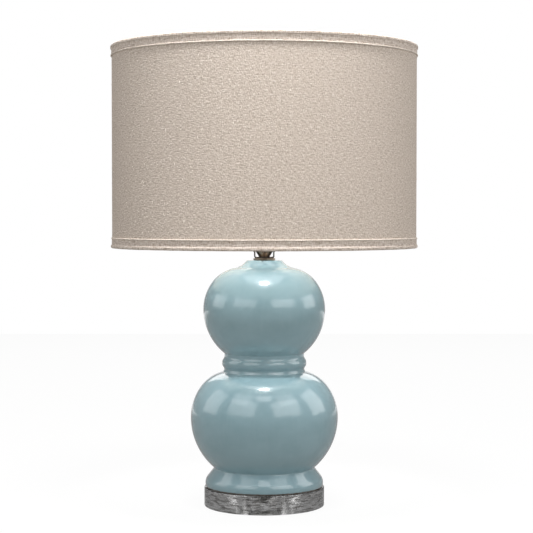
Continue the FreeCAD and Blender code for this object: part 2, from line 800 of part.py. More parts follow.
def harp_corners():
    """The right half of the harp's wire, from its foot to its flat top, as tangent lines and arcs."""
    out_end = ("(post_reach + harp_out_curve - harp_out_curve * cos(harp_out_turn))",
               "(harp_straight + harp_out_curve * sin(harp_out_turn))")
    run_end = (f"({out_end[0]} + harp_run * sin(harp_out_turn))", f"({out_end[1]} + harp_run * cos(harp_out_turn))")
    hip = (f"({run_end[0]} - harp_hip_curve * cos(harp_out_turn))",
           f"({run_end[1]} + harp_hip_curve * sin(harp_out_turn))")
    hip_end = (f"({hip[0]} + harp_hip_curve * cos(harp_hip_turn))", f"({hip[1]} - harp_hip_curve * sin(harp_hip_turn))")
    side = (f"({hip_end[0]} - harp_side_curve * cos(harp_hip_turn))",
            f"({hip_end[1]} + harp_side_curve * sin(harp_hip_turn))")
    # The crown's arc ends level at (harp_flat, harp_top) and is tangent to the side's arc.
    across, up = f"(harp_flat - {side[0]})", f"(harp_top - {side[1]})"
    crown = f"((harp_side_curve ^ 2 - {across} ^ 2 - {up} ^ 2) / (2 * (harp_side_curve - {up})))"
    turn = f"atan2({up} - {crown}; {across})"
    side_end = (f"{side[0]} + harp_side_curve * cos({turn})", f"{side[1]} + harp_side_curve * sin({turn})")
    return [
        ("post_reach", "post_top"), ("post_reach", "harp_straight"), (*out_end, "harp_out_curve", "right"), run_end,
        (*hip_end, "harp_hip_curve", "left"), (*side_end, "harp_side_curve", "left"),
        ("harp_flat", "harp_top", crown, "left"), ("0", "harp_top")]


def harp_loop():
    body = new_body("harp_loop")
    path = sketch_on(body, "XZ_Plane")
    outline(path, harp_corners(), closed=False)
    section = sketch_on(body, "XY_Plane", "post_top")
    circle(section, "post_radius", "post_reach")
    wire = body.newObject("PartDesign::AdditivePipe", "harp_wire")
    wire.Profile = section
    wire.Spine = (path, [])
    mirror_x(body, [wire])
    return body


def harp_seat():
    """The block swaged on the harp's flat top; the wire runs through it."""
    blank = new_body("harp_seat_blank")
    sketch = sketch_on(blank, "XY_Plane", "seat_low")
    circle(sketch, "seat_radius")
    pad(blank, sketch, "seat_top - seat_low")
    drill = cylinder("harp_seat_drill", "post_radius", "seat_radius * 2 + 2",
                     placed(-value("seat_radius + 1"), 0, value("harp_top"), (0, 1, 0), 90))
    return cut("harp_seat", blank, drill)


def harp_stud():
    return turned("harp_stud", [
        ("0", "seat_top"), ("stud_radius", "seat_top"), ("stud_radius", "stud_top - 0.8"),
        ("stud_radius - 0.8", "stud_top"), ("0", "stud_top")])


def ferrule(label, side):
    """A sleeve that slides on a harp leg and locks it to its prong."""
    body = new_body(label)
    sketch = sketch_on(body, "XY_Plane", "ferrule_low")
    circle(sketch, "ferrule_radius", f"{side}post_reach")
    circle(sketch, "ferrule_bore", f"{side}post_reach")
    sleeve = pad(body, sketch, "ferrule_length")
    dress(body, "Fillet", sleeve, "ferrule_round", is_circle_of("ferrule_radius"))
    return body


# ---------------------------------------------------------------------------
# Shade: wire rings and spider, liner, fabric and folded trims
# ---------------------------------------------------------------------------

def wire_ring(label, height):
    body = new_body(label)
    sketch = sketch_on(body, "XZ_Plane")
    circle(sketch, "ring_wire", "ring_radius", height)
    revolution = body.newObject("PartDesign::Revolution", f"{label}_turn")
    revolution.Profile = sketch
    revolution.ReferenceAxis = (sketch, ["V_Axis"])
    revolution.Angle = 360
    return body


def shade_tube(label, outer, wall):
    return tube(label, outer, wall, "shade_low + trim_lip", "shade_top - trim_lip")


def trim(label, edge, inward):
    """Tape folded over a rim: an outer band, a lip and an inner tuck. inward is the sign into the shade."""
    lip = f"({edge} {inward} trim_lip)"
    return turned(label, [
        ("fabric_radius", lip), ("fabric_radius", f"{edge} {inward} trim_band"),
        ("trim_radius - 0.5", f"{edge} {inward} trim_band"), ("trim_radius", f"{edge} {inward} (trim_band - 0.5)"),
        ("trim_radius", f"{edge} {inward} 0.6"), ("trim_radius - 0.6", edge),
        ("trim_inner - trim_lip", edge), ("trim_inner - trim_lip", f"{edge} {inward} trim_tuck"),
        ("trim_inner", f"{edge} {inward} trim_tuck"), ("trim_inner", lip)])


def top_trim():
    """The top trim's tuck is notched where the spider's arms reach the ring."""
    body = trim("top_trim", "shade_top", "-")
    notch = sketch_on(body, "XY_Plane", "shade_top - trim_tuck - 1")
    outline(notch, [("-trim_notch / 2", "trim_inner - trim_lip - 2"), ("trim_notch / 2", "trim_inner - trim_lip - 2"),
                    ("trim_notch / 2", "trim_inner + 0.5"), ("-trim_notch / 2", "trim_inner + 0.5")])
    gap = pocket(body, notch, "trim_tuck + 1 - trim_lip", reverse=True)
    repeat_round(body, [gap], "Z_Axis", 3)
    return body


def shade_spider():
    """A washer with three wire arms that bend up to the top ring."""
    blank = new_body("spider_blank")
    washer = sketch_on(blank, "XY_Plane", "hub_low")
    circle(washer, "hub_radius")
    circle(washer, "hub_hole")
    pad(blank, washer, "hub_thick")
    tangent = "(arm_bend_curve * tan((90 - arm_rise_turn) / 2))"
    rise = "((arm_end_radius - arm_bend_radius) / tan(arm_rise_turn))"
    path = sketch_on(blank, "YZ_Plane")
    outline(path, [
        ("hub_radius - 2", "arm_level"), (f"arm_bend_radius - {tangent}", "arm_level"),
        (f"arm_bend_radius + {tangent} * sin(arm_rise_turn)", f"arm_level + {tangent} * cos(arm_rise_turn)",
         "arm_bend_curve", "left"),
        ("arm_end_radius", f"arm_level + {rise}")], closed=False)
    section = sketch_on(blank, "XZ_Plane", "2 - hub_radius")
    circle(section, "arm_wire", "0", "arm_level")
    arm = blank.newObject("PartDesign::AdditivePipe", "spider_arm")
    arm.Profile = section
    arm.Spine = (path, [])
    repeat_round(blank, [arm], "Z_Axis", 3)
    ring_space = doc.addObject("Part::Torus", "spider_ring_space")
    ring_space.setExpression("Radius1", bound("ring_radius"))
    ring_space.setExpression("Radius2", bound("ring_wire"))
    ring_space.Placement = placed(0, 0, value("shade_top - ring_inset"))
    return cut("shade_spider", blank, ring_space)


# ---------------------------------------------------------------------------
# Finial and bulb
# ---------------------------------------------------------------------------

def finial_insert():
    return turned("finial_insert", [
        ("insert_bore", "finial_low"), ("insert_radius", "finial_low"), ("insert_radius", "insert_top"),
        ("insert_bore", "insert_top")])


def finial():
    """A turned knob: flange, stem, neck and ball, bored for its threaded insert."""
    ball_low = "finial_ball_middle - sqrt(finial_ball ^ 2 - finial_neck ^ 2)"
    return turned("finial", [
        ("insert_radius + 0.05", "finial_low"), ("finial_flange", "finial_low"),
        ("finial_flange", "finial_low + finial_flange_thick"),
        ("finial_stem", "finial_low + finial_flange_thick + 1"),
        ("finial_neck", "finial_neck_height", "14", "right"), ("finial_neck", ball_low),
        ("finial_ball", "finial_ball_middle", "finial_ball", "left"),
        ("0", "finial_ball_middle + finial_ball", "finial_ball", "left"),
        ("0", "finial_socket_top"), ("insert_bore", "finial_socket_top - 1.5"), ("insert_bore", "insert_top"),
        ("insert_radius + 0.05", "insert_top")])


def bulb_screw_cap():
    inner = "(bulb_cap_radius - bulb_cap_wall)"
    return turned("bulb_screw_cap", [
        ("bulb_contact_radius", "bulb_cap_low - 1"), ("bulb_cone_radius", "bulb_cap_low - 1"),
        ("bulb_cap_radius", "bulb_cap_low + 3"), ("bulb_cap_radius", "bulb_cap_top"),
        (inner, "bulb_cap_top"), (inner, "bulb_cap_low + 4"), ("bulb_contact_radius", "bulb_cap_low + 1")])


def bulb_contact():
    return turned("bulb_contact", [
        ("0", "bulb_contact_low"), ("bulb_contact_radius / 2", "bulb_contact_low"),
        ("bulb_contact_radius", "bulb_contact_low + 1.5"), ("bulb_contact_radius", "bulb_cap_low + 1"),
        ("0", "bulb_cap_low + 1")])


def bulb_globe():
    """A pear-shaped glass envelope: a round head that runs down into a neck inside the cap."""
    # The neck's outward arc is tangent to the neck and to the head.
    across = "(bulb_neck + bulb_neck_curve)"
    drop = f"sqrt((bulb_radius + bulb_neck_curve) ^ 2 - {across} ^ 2)"
    turn = f"atan2({drop}; {across})"
    def meet(radius):
        return f"({radius}) * cos({turn})", f"bulb_middle - ({radius}) * sin({turn})"
    neck_top = f"bulb_middle - {drop}"
    inner_neck = "(bulb_neck - bulb_wall)"
    inner_head = "(bulb_radius - bulb_wall)"
    return turned("bulb_globe", [
        (inner_neck, "bulb_cap_top - 6"), ("bulb_neck - 0.3", "bulb_cap_top - 6"), ("bulb_neck - 0.3", "bulb_cap_top"),
        ("bulb_neck", "bulb_cap_top + 0.5"), ("bulb_neck", neck_top),
        (*meet("bulb_radius"), "bulb_neck_curve", "right"),
        ("bulb_radius", "bulb_middle", "bulb_radius", "left"),
        ("0", "bulb_middle + bulb_radius", "bulb_radius", "left"),
        ("0", "bulb_middle + bulb_radius - bulb_wall"),
        (inner_head, "bulb_middle", inner_head, "right"),
        (*meet(inner_head), inner_head, "right"),
        (inner_neck, neck_top, "bulb_neck_curve + bulb_wall", "left")])


# ---------------------------------------------------------------------------
# Build, check and write
# ---------------------------------------------------------------------------

NODES = [
    base_feet(), base_disc(),
    ring("base_washer", "washer_radius", "pipe_radius + pipe_gap", "washer_low", "washer_thick"),
    spring_washer(), base_nut(), lamp_pipe(), ceramic_with_hole(), cord_bushing(),
    check_ring(), harp_saddle(), socket_cap(), cap_set_screw(),
    socket_shell(), socket_sleeve(), socket_core(), screw_shell(), centre_contact(), terminal_screws(),
    switch_shaft(), switch_knob(),
    harp_loop(), harp_seat(), harp_stud(), ferrule("ferrule_left", "-"), ferrule("ferrule_right", ""),
    shade_spider(), wire_ring("top_ring", "shade_top - ring_inset"), wire_ring("bottom_ring", "shade_low + ring_inset"),
    shade_tube("shade_liner", "fabric_radius - fabric_thick", "liner_thick"),
    shade_tube("shade_fabric", "fabric_radius", "fabric_thick"),
    top_trim(), trim("bottom_trim", "shade_low", "+"),
    finial_insert(), finial(), bulb_screw_cap(), bulb_contact(), bulb_globe(),
]
doc.recompute()

for item in doc.Objects:
    if "Invalid" in item.State or "Error" in item.State:
        raise RuntimeError(f"{item.Label}: {item.State}")
for feature, base in CUTS:
    if feature.Shape.Volume >= base.Shape.Volume:
        raise RuntimeError(f"{feature.Label} cuts nothing")
for node in NODES:
    shape = node.Shape
    if shape.isNull() or not shape.isValid() or not shape.Solids:
        raise RuntimeError(f"{node.Label} has no valid solid")
    box = shape.optimalBoundingBox(False)
    print(f"{node.Label:18s} solids {len(shape.Solids)}  volume {shape.Volume:12.1f}  "
          f"x {box.XMin:8.2f} {box.XMax:8.2f}  y {box.YMin:8.2f} {box.YMax:8.2f}  z {box.ZMin:7.2f} {box.ZMax:7.2f}")
    shape.exportStep(f"parts/{node.Label}.step")
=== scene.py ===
"""Double gourd table lamp: a glazed ceramic body on a clear acrylic disc, under a linen drum shade.

The classes hold their sizes in millimetres, and the meshes are in metres in the frame's own axes:
+Z is up, the harp lies in the XZ plane, the switch knob faces -Y and the cord leaves at +Y.
"""

import logging
import math
from collections.abc import Callable, Sequence
from dataclasses import dataclass
from enum import Enum

import bmesh
import bpy
from mathutils import Matrix, Vector, noise


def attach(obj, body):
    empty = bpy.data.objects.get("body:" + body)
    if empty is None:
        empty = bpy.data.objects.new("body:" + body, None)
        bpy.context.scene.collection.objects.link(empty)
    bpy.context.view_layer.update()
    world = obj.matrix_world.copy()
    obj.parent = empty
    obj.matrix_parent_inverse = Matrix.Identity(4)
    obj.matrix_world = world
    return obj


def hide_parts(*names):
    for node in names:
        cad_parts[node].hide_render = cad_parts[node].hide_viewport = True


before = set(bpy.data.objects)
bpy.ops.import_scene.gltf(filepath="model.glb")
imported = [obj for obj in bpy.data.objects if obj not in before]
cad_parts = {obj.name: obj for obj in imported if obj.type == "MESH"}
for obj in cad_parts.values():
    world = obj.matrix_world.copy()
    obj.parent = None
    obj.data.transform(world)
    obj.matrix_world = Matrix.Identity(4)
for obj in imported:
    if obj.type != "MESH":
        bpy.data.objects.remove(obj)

LOG = logging.getLogger("lamp")
MM = 0.001
UV_NAME = "Cloth"
MEDIUM_PITCH = 3.63  # bulb and socket: 7 threads to the inch
FINE_PITCH = 0.94  # pipe and stud: 27 threads to the inch


# ---------------------------------------------------------------------------
# Outlines and shells
# ---------------------------------------------------------------------------

class Turn(Enum):
    """Side on which an outline's arc has its centre, seen along the way."""

    LEFT = 1
    RIGHT = -1


@dataclass(frozen=True)
class To:
    """A corner of an outline in millimetres.

    radius and turn make the way to it an arc, and soft rounds the corner itself.
    """

    x: float
    z: float
    radius: float = 0.0
    turn: Turn | None = None
    soft: float = 0.0


Line = list[tuple[float, float]]
Warp = Callable[[float, float, float], tuple[float, float]]


def arc_way(start: Vector, end: Vector, radius: float, turn: Turn, step: float) -> list[Vector]:
    """Divide an arc into short runs.

    Args:
        start: First point, which isn't repeated.
        end: Last point.
        radius: Radius of the arc.
        turn: Side of its centre.
        step: Longest run.

    Returns:
        The points after start, up to and with end.
    """
    chord = end - start
    across = Vector((-chord.y, chord.x)).normalized() * turn.value
    centre = (start + end) / 2 + across * math.sqrt(max(radius ** 2 - chord.length_squared / 4, 0.0))
    first = math.atan2(start.y - centre.y, start.x - centre.x)
    swing = math.atan2(end.y - centre.y, end.x - centre.x) - first
    swing = (swing + math.pi) % math.tau - math.pi
    count = max(math.ceil(abs(swing) * radius / step), math.ceil(abs(swing) / math.radians(7)), 1)
    angles = [first + swing * k / count for k in range(1, count + 1)]
    return [centre + Vector((math.cos(angle), math.sin(angle))) * radius for angle in angles]


def rounded(before: Vector, corner: Vector, after: Vector, radius: float) -> list[Vector]:
    """Round one corner.

    Args:
        before: Point before the corner.
        corner: The corner.
        after: Point after it.
        radius: Wanted radius, made smaller where the runs are short.

    Returns:
        Five points in place of the corner.
    """
    back, forth = before - corner, after - corner
    half = back.angle(forth) / 2
    reach = min(radius / math.tan(half), back.length * 0.49, forth.length * 0.49)
    back.normalize()
    forth.normalize()
    size = reach * math.tan(half)
    centre = corner + (back + forth).normalized() * (size / math.sin(half))
    first, last = corner + back * reach - centre, corner + forth * reach - centre
    return [centre + first.lerp(last, k / 4).normalized() * size for k in range(5)]


def outline(corners: Sequence[To], closed: bool = True, step: float = 2.0) -> Line:
    """Draw a line through corners.

    Args:
        corners: The corners in order.
        closed: Whether the last is joined to the first.
        step: Longest run on an arc.

    Returns:
        The line's points as (x, z) in millimetres.
    """
    way: list[tuple[Vector, float]] = []
    for index, corner in enumerate(corners):
        end = Vector((corner.x, corner.z))
        start = Vector((corners[index - 1].x, corners[index - 1].z))
        if corner.turn and (index or closed):
            way += [(point, 0.0) for point in arc_way(start, end, corner.radius, corner.turn, step)]
            way[-1] = (end, corner.soft)
        else:
            way.append((end, corner.soft))
    line: list[Vector] = []
    for index, (point, soft) in enumerate(way):
        if soft and (closed or 0 < index < len(way) - 1):
            line += rounded(way[index - 1][0], point, way[(index + 1) % len(way)][0], soft)
        else:
            line.append(point)
    return [(point.x, point.y) for point in line]


@dataclass
class Shell:
    """Points in millimetres, faces between them, and each face's place on the cloth in metres."""

    points: list[Vector]
    faces: list[tuple[int, ...]]
    chart: list[list[tuple[float, float]]]

    def moved(self, place: Matrix) -> "Shell":
        """The same shell at another place."""
        return Shell([place @ point for point in self.points], self.faces, self.chart)

    def __add__(self, other: "Shell") -> "Shell":
        """Both shells as one."""
        start = len(self.points)
        faces = self.faces + [tuple(index + start for index in face) for face in other.faces]
        return Shell(self.points + other.points, faces, self.chart + other.chart)


def lathe(line: Line, segments: int = 96, closed: bool = True, warp: Warp | None = None) -> Shell:
    """Turn an outline about the lamp's axis.

    Args:
        line: Outline as (radius, height). A radius of 0 is a pole.
        segments: Faces round.
        closed: Whether the outline is a loop.
        warp: Gives another (radius, height) for an angle, radius and height.

    Returns:
        The shell, whose chart runs round the widest circle and along the outline.
    """
    points: list[Vector] = []
    rings: list[list[int]] = []
    for radius, height in line:
        if radius < 1e-6:
            rings.append([len(points)] * segments)
            points.append(Vector((0, 0, height)))
            continue
        rings.append(list(range(len(points), len(points) + segments)))
        for step in range(segments):
            angle = math.tau * step / segments
            r, z = warp(angle, radius, height) if warp else (radius, height)
            points.append(Vector((r * math.cos(angle), r * math.sin(angle), z)))
    run = [0.0]
    for index in range(len(line)):
        a, b = line[index], line[(index + 1) % len(line)]
        run.append(run[-1] + math.dist(a, b) * MM)
    round_scale = math.tau * max(radius for radius, _ in line) * MM / segments
    faces, chart = [], []
    for k in range(len(line) if closed else len(line) - 1):
        low, high = rings[k], rings[(k + 1) % len(line)]
        for j in range(segments):
            n = (j + 1) % segments
            corners = {low[j]: (j, run[k]), low[n]: (j + 1, run[k]),
                       high[n]: (j + 1, run[k + 1]), high[j]: (j, run[k + 1])}
            if len(corners) > 2:
                faces.append(tuple(corners))
                chart.append([(u * round_scale, v) for u, v in corners.values()])
    return Shell(points, faces, chart)


def circle_section(radius: float, sides: int = 16) -> Line:
    """A round section for a sweep."""
    angles = [math.tau * k / sides for k in range(sides)]
    return [(radius * math.cos(angle), radius * math.sin(angle)) for angle in angles]


def strip_section(thick: float, wide: float, soft: float) -> Line:
    """A flat section with rounded edges for a sweep."""
    x, z = thick / 2, wide / 2
    return outline([To(-x, -z, soft=soft), To(x, -z, soft=soft), To(x, z, soft=soft), To(-x, z, soft=soft)])


def sweep(path: Sequence[Vector], section: Line, across: Vector,
          sizes: Sequence[float] | None = None) -> Shell:
    """Carry a section along a flat path and close its ends.

    Args:
        path: Points of the path, all in one plane.
        section: Section as (off the path in its plane, along across).
        across: Direction square to the plane.
        sizes: Scale of the section along across at each point.

    Returns:
        The closed shell.
    """
    points: list[Vector] = []
    run = 0.0
    runs = []
    for index, place in enumerate(path):
        back = (place - path[index - 1]).normalized() if index else Vector()
        forth = (path[index + 1] - place).normalized() if index < len(path) - 1 else Vector()
        way = (back + forth).normalized()
        stretch = 1.0 / max(way.dot(forth if index < len(path) - 1 else back), 0.5)
        off = across.cross(way).normalized()
        wide = sizes[index] if sizes else 1.0
        points += [place + off * (a * stretch) + across * (b * wide) for a, b in section]
        run += (place - path[index - 1]).length * MM if index else 0.0
        runs.append(run)
    sides = len(section)
    girth = sum(math.dist(section[k], section[k - 1]) for k in range(sides)) * MM / sides
    faces, chart = [], []
    for k in range(len(path) - 1):
        for j in range(sides):
            n = (j + 1) % sides
            faces.append((k * sides + j, k * sides + n, (k + 1) * sides + n, (k + 1) * sides + j))
            chart.append([(j * girth, runs[k]), ((j + 1) * girth, runs[k]),
                          ((j + 1) * girth, runs[k + 1]), (j * girth, runs[k + 1])])
    for start in (0, (len(path) - 1) * sides):
        faces.append(tuple(range(start, start + sides)))
        chart.append([(a * MM, b * MM) for a, b in section])
    return Shell(points, faces, chart)


# ---------------------------------------------------------------------------
# Pieces
# ---------------------------------------------------------------------------

@dataclass(frozen=True)
class Role:
    """What a piece is in the frame: its body, its finish slot and the nodes that it stands for."""

    body: str
    slot: str
    nodes: tuple[str, ...]


def mesh_object(name: str, shell: Shell, crease: float = 35.0) -> bpy.types.Object:
    """Make an object of a shell.

    Args:
        name: Name of the object and its mesh.
        shell: The shape in millimetres.
        crease: Angle in degrees past which an edge stays sharp.

    Returns:
        The object at the origin, with its normals outwards and its UV map filled.
    """
    mesh = bpy.data.meshes.new(name)
    mesh.from_pydata([point * MM for point in shell.points], [], shell.faces)
    layer = mesh.uv_layers.new(name=UV_NAME)
    layer.data.foreach_set("uv", [number for face in shell.chart for place in face for number in place])
    tidy = bmesh.new()
    tidy.from_mesh(mesh)
    bmesh.ops.recalc_face_normals(tidy, faces=tidy.faces)
    tidy.to_mesh(mesh)
    tidy.free()
    mesh.shade_smooth()
    mesh.set_sharp_from_angle(angle=math.radians(crease))
    item = bpy.data.objects.new(name, mesh)
    bpy.context.scene.collection.objects.link(item)
    return item


def settle(item: bpy.types.Object, finish: "Finish", role: Role) -> bpy.types.Object:
    """Give a piece its finish and its place among the bodies.

    Args:
        item: The finished piece.
        finish: Its finish.
        role: Its body and nodes; its slot is not used.

    Returns:
        The same piece.
    """
    item.data.materials.clear()
    item.data.materials.append(finish.material())
    if role.nodes:
        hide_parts(*role.nodes)
    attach(item, role.body)
    LOG.info("%s: %d faces, rides on %s", item.name, len(item.data.polygons), role.body)
    return item


def cut_away(item: bpy.types.Object, cutter: Shell) -> None:
    """Take a shell's space out of a piece.

    Args:
        item: The piece, which keeps its name.
        cutter: The closed space to take away.
    """
    tool = mesh_object("cutter", cutter)
    cut = item.modifiers.new("cut", "BOOLEAN")
    cut.operation = "DIFFERENCE"
    cut.solver = "EXACT"
    cut.object = tool
    apply_modifiers(item)
    bpy.data.objects.remove(tool)


def apply_modifiers(item: bpy.types.Object) -> None:
    """Turn what an object's modifiers show into its own mesh, and drop the modifiers."""
    shown = item.evaluated_get(bpy.context.evaluated_depsgraph_get())
    mesh = bpy.data.meshes.new_from_object(shown)
    mesh.name = item.name
    item.modifiers.clear()
    item.data = mesh


def dress_node(node: str, finish: "Finish") -> None:
    """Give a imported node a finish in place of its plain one."""
    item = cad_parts[node]
    for place in item.material_slots:
        place.material = finish.material()
    LOG.info("%s: packed node, new finish", node)


# ---------------------------------------------------------------------------
# Node trees
# ---------------------------------------------------------------------------

Source = bpy.types.NodeSocket | float | int | tuple | bpy.types.Material | bpy.types.Object


def add_node(tree: bpy.types.NodeTree, kind: str, inputs: dict[str | int, Source] | None = None,
             **settings: object) -> bpy.types.Node:
    """Add a node to a tree.

    Args:
        tree: The tree.
        kind: Blender's name of the node type.
        inputs: A value or an output socket for each input, by its name or number.
        **settings: Properties of the node.

    Returns:
        The node.
    """
    node = tree.nodes.new(kind)
    for name, setting in settings.items():
        setattr(node, name, setting)
    for key, source in (inputs or {}).items():
        if isinstance(source, bpy.types.NodeSocket):
            tree.links.new(source, node.inputs[key])
        else:
            node.inputs[key].default_value = source
    return node


def new_geometry_tree(name: str, sizes: dict[str, tuple[str, object]]
                      ) -> tuple[bpy.types.NodeTree, bpy.types.Node]:
    """Start a Geometry Nodes tree with named inputs.

    Args:
        name: Name of the tree.
        sizes: Socket type and default value of each input.

    Returns:
        The tree and its input node.
    """
    tree = bpy.data.node_groups.new(name, "GeometryNodeTree")
    tree.interface.new_socket("Geometry", in_out="INPUT", socket_type="NodeSocketGeometry")
    for label, (kind, start) in sizes.items():
        socket = tree.interface.new_socket(label, in_out="INPUT", socket_type=kind)
        if start is not None:
            socket.default_value = start
    tree.interface.new_socket("Geometry", in_out="OUTPUT", socket_type="NodeSocketGeometry")
    return tree, tree.nodes.new("NodeGroupInput")


def end_geometry_tree(tree: bpy.types.NodeTree, shape: bpy.types.NodeSocket, entry: bpy.types.Node) -> None:
    """Close a tree with smooth faces, Realize Instances and Set Material."""
    real = add_node(tree, "GeometryNodeRealizeInstances", {"Geometry": shape})
    smooth = add_node(tree, "GeometryNodeSetShadeSmooth", {"Geometry": real.outputs[0]})
    dressed = add_node(tree, "GeometryNodeSetMaterial",
                       {"Geometry": smooth.outputs[0], "Material": entry.outputs["Material"]})
    add_node(tree, "NodeGroupOutput", {"Geometry": dressed.outputs[0]})


def run_tree(name: str, tree: bpy.types.NodeTree, host: bpy.types.Object, values: dict[str, Source],
             place: Matrix | None = None) -> bpy.types.Object:
    """Run a tree on a host and keep the result as a plain mesh.

    Args:
        name: Name of the new object.
        tree: The tree.
        host: Object that goes in, which is removed afterwards.
        values: Value of each named input.
        place: Where the result goes, in metres.

    Returns:
        The new object at the origin.
    """
    live = host.modifiers.new(name, "NODES")
    live.node_group = tree
    keys = {item.name: item.identifier for item in tree.interface.items_tree if item.in_out == "INPUT"}
    for label, value in values.items():
        live[keys[label]] = value
    apply_modifiers(host)
    host.name = host.data.name = name
    if place:
        host.data.transform(place)
    return host


# ---------------------------------------------------------------------------
# Finishes
# ---------------------------------------------------------------------------

def linear(code: str) -> tuple[float, float, float, float]:
    """Turn an sRGB hex value such as #8fa9af to linear light with an alpha of 1."""
    parts = [int(code[place:place + 2], 16) / 255 for place in (1, 3, 5)]
    light = [part / 12.92 if part <= 0.04045 else ((part + 0.055) / 1.055) ** 2.4 for part in parts]
    return light[0], light[1], light[2], 1.0


@dataclass(frozen=True)
class Finish:
    """A surface: its name, colour and gloss. Each kind draws its own detail."""

    name: str
    colour: str
    roughness: float

    def material(self) -> bpy.types.Material:
        """The finish's material, built when it is first asked for."""
        known = bpy.data.materials.get(self.name)
        if known:
            return known
        made = bpy.data.materials.new(self.name)
        made.use_nodes = True
        made.node_tree.nodes.clear()
        made.diffuse_color = linear(self.colour)
        surface = add_node(made.node_tree, "ShaderNodeBsdfPrincipled",
                           {"Base Color": linear(self.colour), "Roughness": self.roughness})
        add_node(made.node_tree, "ShaderNodeOutputMaterial", {"Surface": surface.outputs[0]})
        self.draw(made.node_tree, surface)
        return made

    def draw(self, tree: bpy.types.NodeTree, surface: bpy.types.Node) -> None:
        """Add the finish's own detail to its surface node."""

    @staticmethod
    def grain(tree: bpy.types.NodeTree, size: tuple[float, float, float], detail: float = 3.0,
              source: str = "Object") -> bpy.types.NodeSocket:
        """Noise whose features have a real size.

        Args:
            tree: The material's tree.
            size: Size of a feature along each axis in millimetres.
            detail: Octaves of the noise.
            source: Output of Texture Coordinate that it follows.

        Returns:
            The noise's factor, about 0.5 on the whole.
        """
        place = add_node(tree, "ShaderNodeTexCoord").outputs[source]
        scale = tuple(1.0 / (length * MM) for length in size)
        spread = add_node(tree, "ShaderNodeMapping", {"Vector": place, "Scale": scale})
        return add_node(tree, "ShaderNodeTexNoise", {
            "Vector": spread.outputs[0], "Scale": 1.0, "Detail": detail, "Roughness": 0.55}).outputs[0]

    @staticmethod
    def between(tree: bpy.types.NodeTree, factor: bpy.types.NodeSocket, low: Source, high: Source,
                start: float = 0.3, end: float = 0.7) -> bpy.types.NodeSocket:
        """Blend two colours as a factor goes from start to end.

        Args:
            tree: The material's tree.
            factor: What leads the blend.
            low: Colour at start.
            high: Colour at end.
            start: Factor at the first colour.
            end: Factor at the second.

        Returns:
            The blended colour.
        """
        share = add_node(tree, "ShaderNodeMapRange", {"Value": factor, "From Min": start, "From Max": end})
        return add_node(tree, "ShaderNodeMix", {0: share.outputs[0], 6: low, 7: high},
                        data_type="RGBA").outputs[2]

    @staticmethod
    def amount(tree: bpy.types.NodeTree, factor: bpy.types.NodeSocket, low: float, high: float,
               start: float = 0.3, end: float = 0.7) -> bpy.types.NodeSocket:
        """A number that goes from low to high as a factor goes from start to end."""
        return add_node(tree, "ShaderNodeMapRange", {"Value": factor, "From Min": start, "From Max": end,
                                                     "To Min": low, "To Max": high}).outputs[0]

    @staticmethod
    def bump(tree: bpy.types.NodeTree, height: bpy.types.NodeSocket, depth: float,
             under: bpy.types.NodeSocket | None = None) -> bpy.types.NodeSocket:
        """A bumped normal.

        Args:
            tree: The material's tree.
            height: What leads the height, from 0 to 1.
            depth: Height of 1 in millimetres.
            under: A bump below this one.

        Returns:
            The normal.
        """
        inputs: dict[str | int, Source] = {"Height": height, "Distance": depth * MM, "Strength": 1.0}
        if under:
            inputs["Normal"] = under
        return add_node(tree, "ShaderNodeBump", inputs).outputs[0]


@dataclass(frozen=True)
class Metal(Finish):
    """Polished, plated or drawn metal with fine turning marks and slight tarnish."""

    tarnish: str = "#7d6f62"
    marks: tuple[float, float, float] = (9.0, 9.0, 0.35)
    depth: float = 0.004

    def draw(self, tree: bpy.types.NodeTree, surface: bpy.types.Node) -> None:
        """Marks along the turning, and patches of tarnish that are duller."""
        surface.inputs["Metallic"].default_value = 1.0
        patch = self.grain(tree, (14.0, 14.0, 14.0), 4.0)
        marks = self.grain(tree, self.marks, 2.0)
        tree.links.new(self.between(tree, patch, linear(self.tarnish), linear(self.colour), 0.25, 0.6),
                       surface.inputs["Base Color"])
        tree.links.new(self.amount(tree, patch, self.roughness * 1.5, self.roughness),
                       surface.inputs["Roughness"])
        tree.links.new(self.bump(tree, marks, self.depth), surface.inputs["Normal"])


@dataclass(frozen=True)
class Moulded(Finish):
    """Moulded plastic, rubber or fibre with a fine grain from its mould."""

    shade: str = "#000000"
    grain_size: float = 0.6
    depth: float = 0.02
    clear: float = 0.0

    def draw(self, tree: bpy.types.NodeTree, surface: bpy.types.Node) -> None:
        """A fine grain, and a faint cloudiness of the colour."""
        surface.inputs["IOR"].default_value = 1.5
        surface.inputs["Transmission Weight"].default_value = self.clear
        cloud = self.grain(tree, (6.0, 6.0, 6.0))
        fine = self.grain(tree, (self.grain_size,) * 3, 2.0)
        tree.links.new(self.between(tree, cloud, linear(self.shade), linear(self.colour), 0.0, 0.6),
                       surface.inputs["Base Color"])
        tree.links.new(self.bump(tree, fine, self.depth), surface.inputs["Normal"])


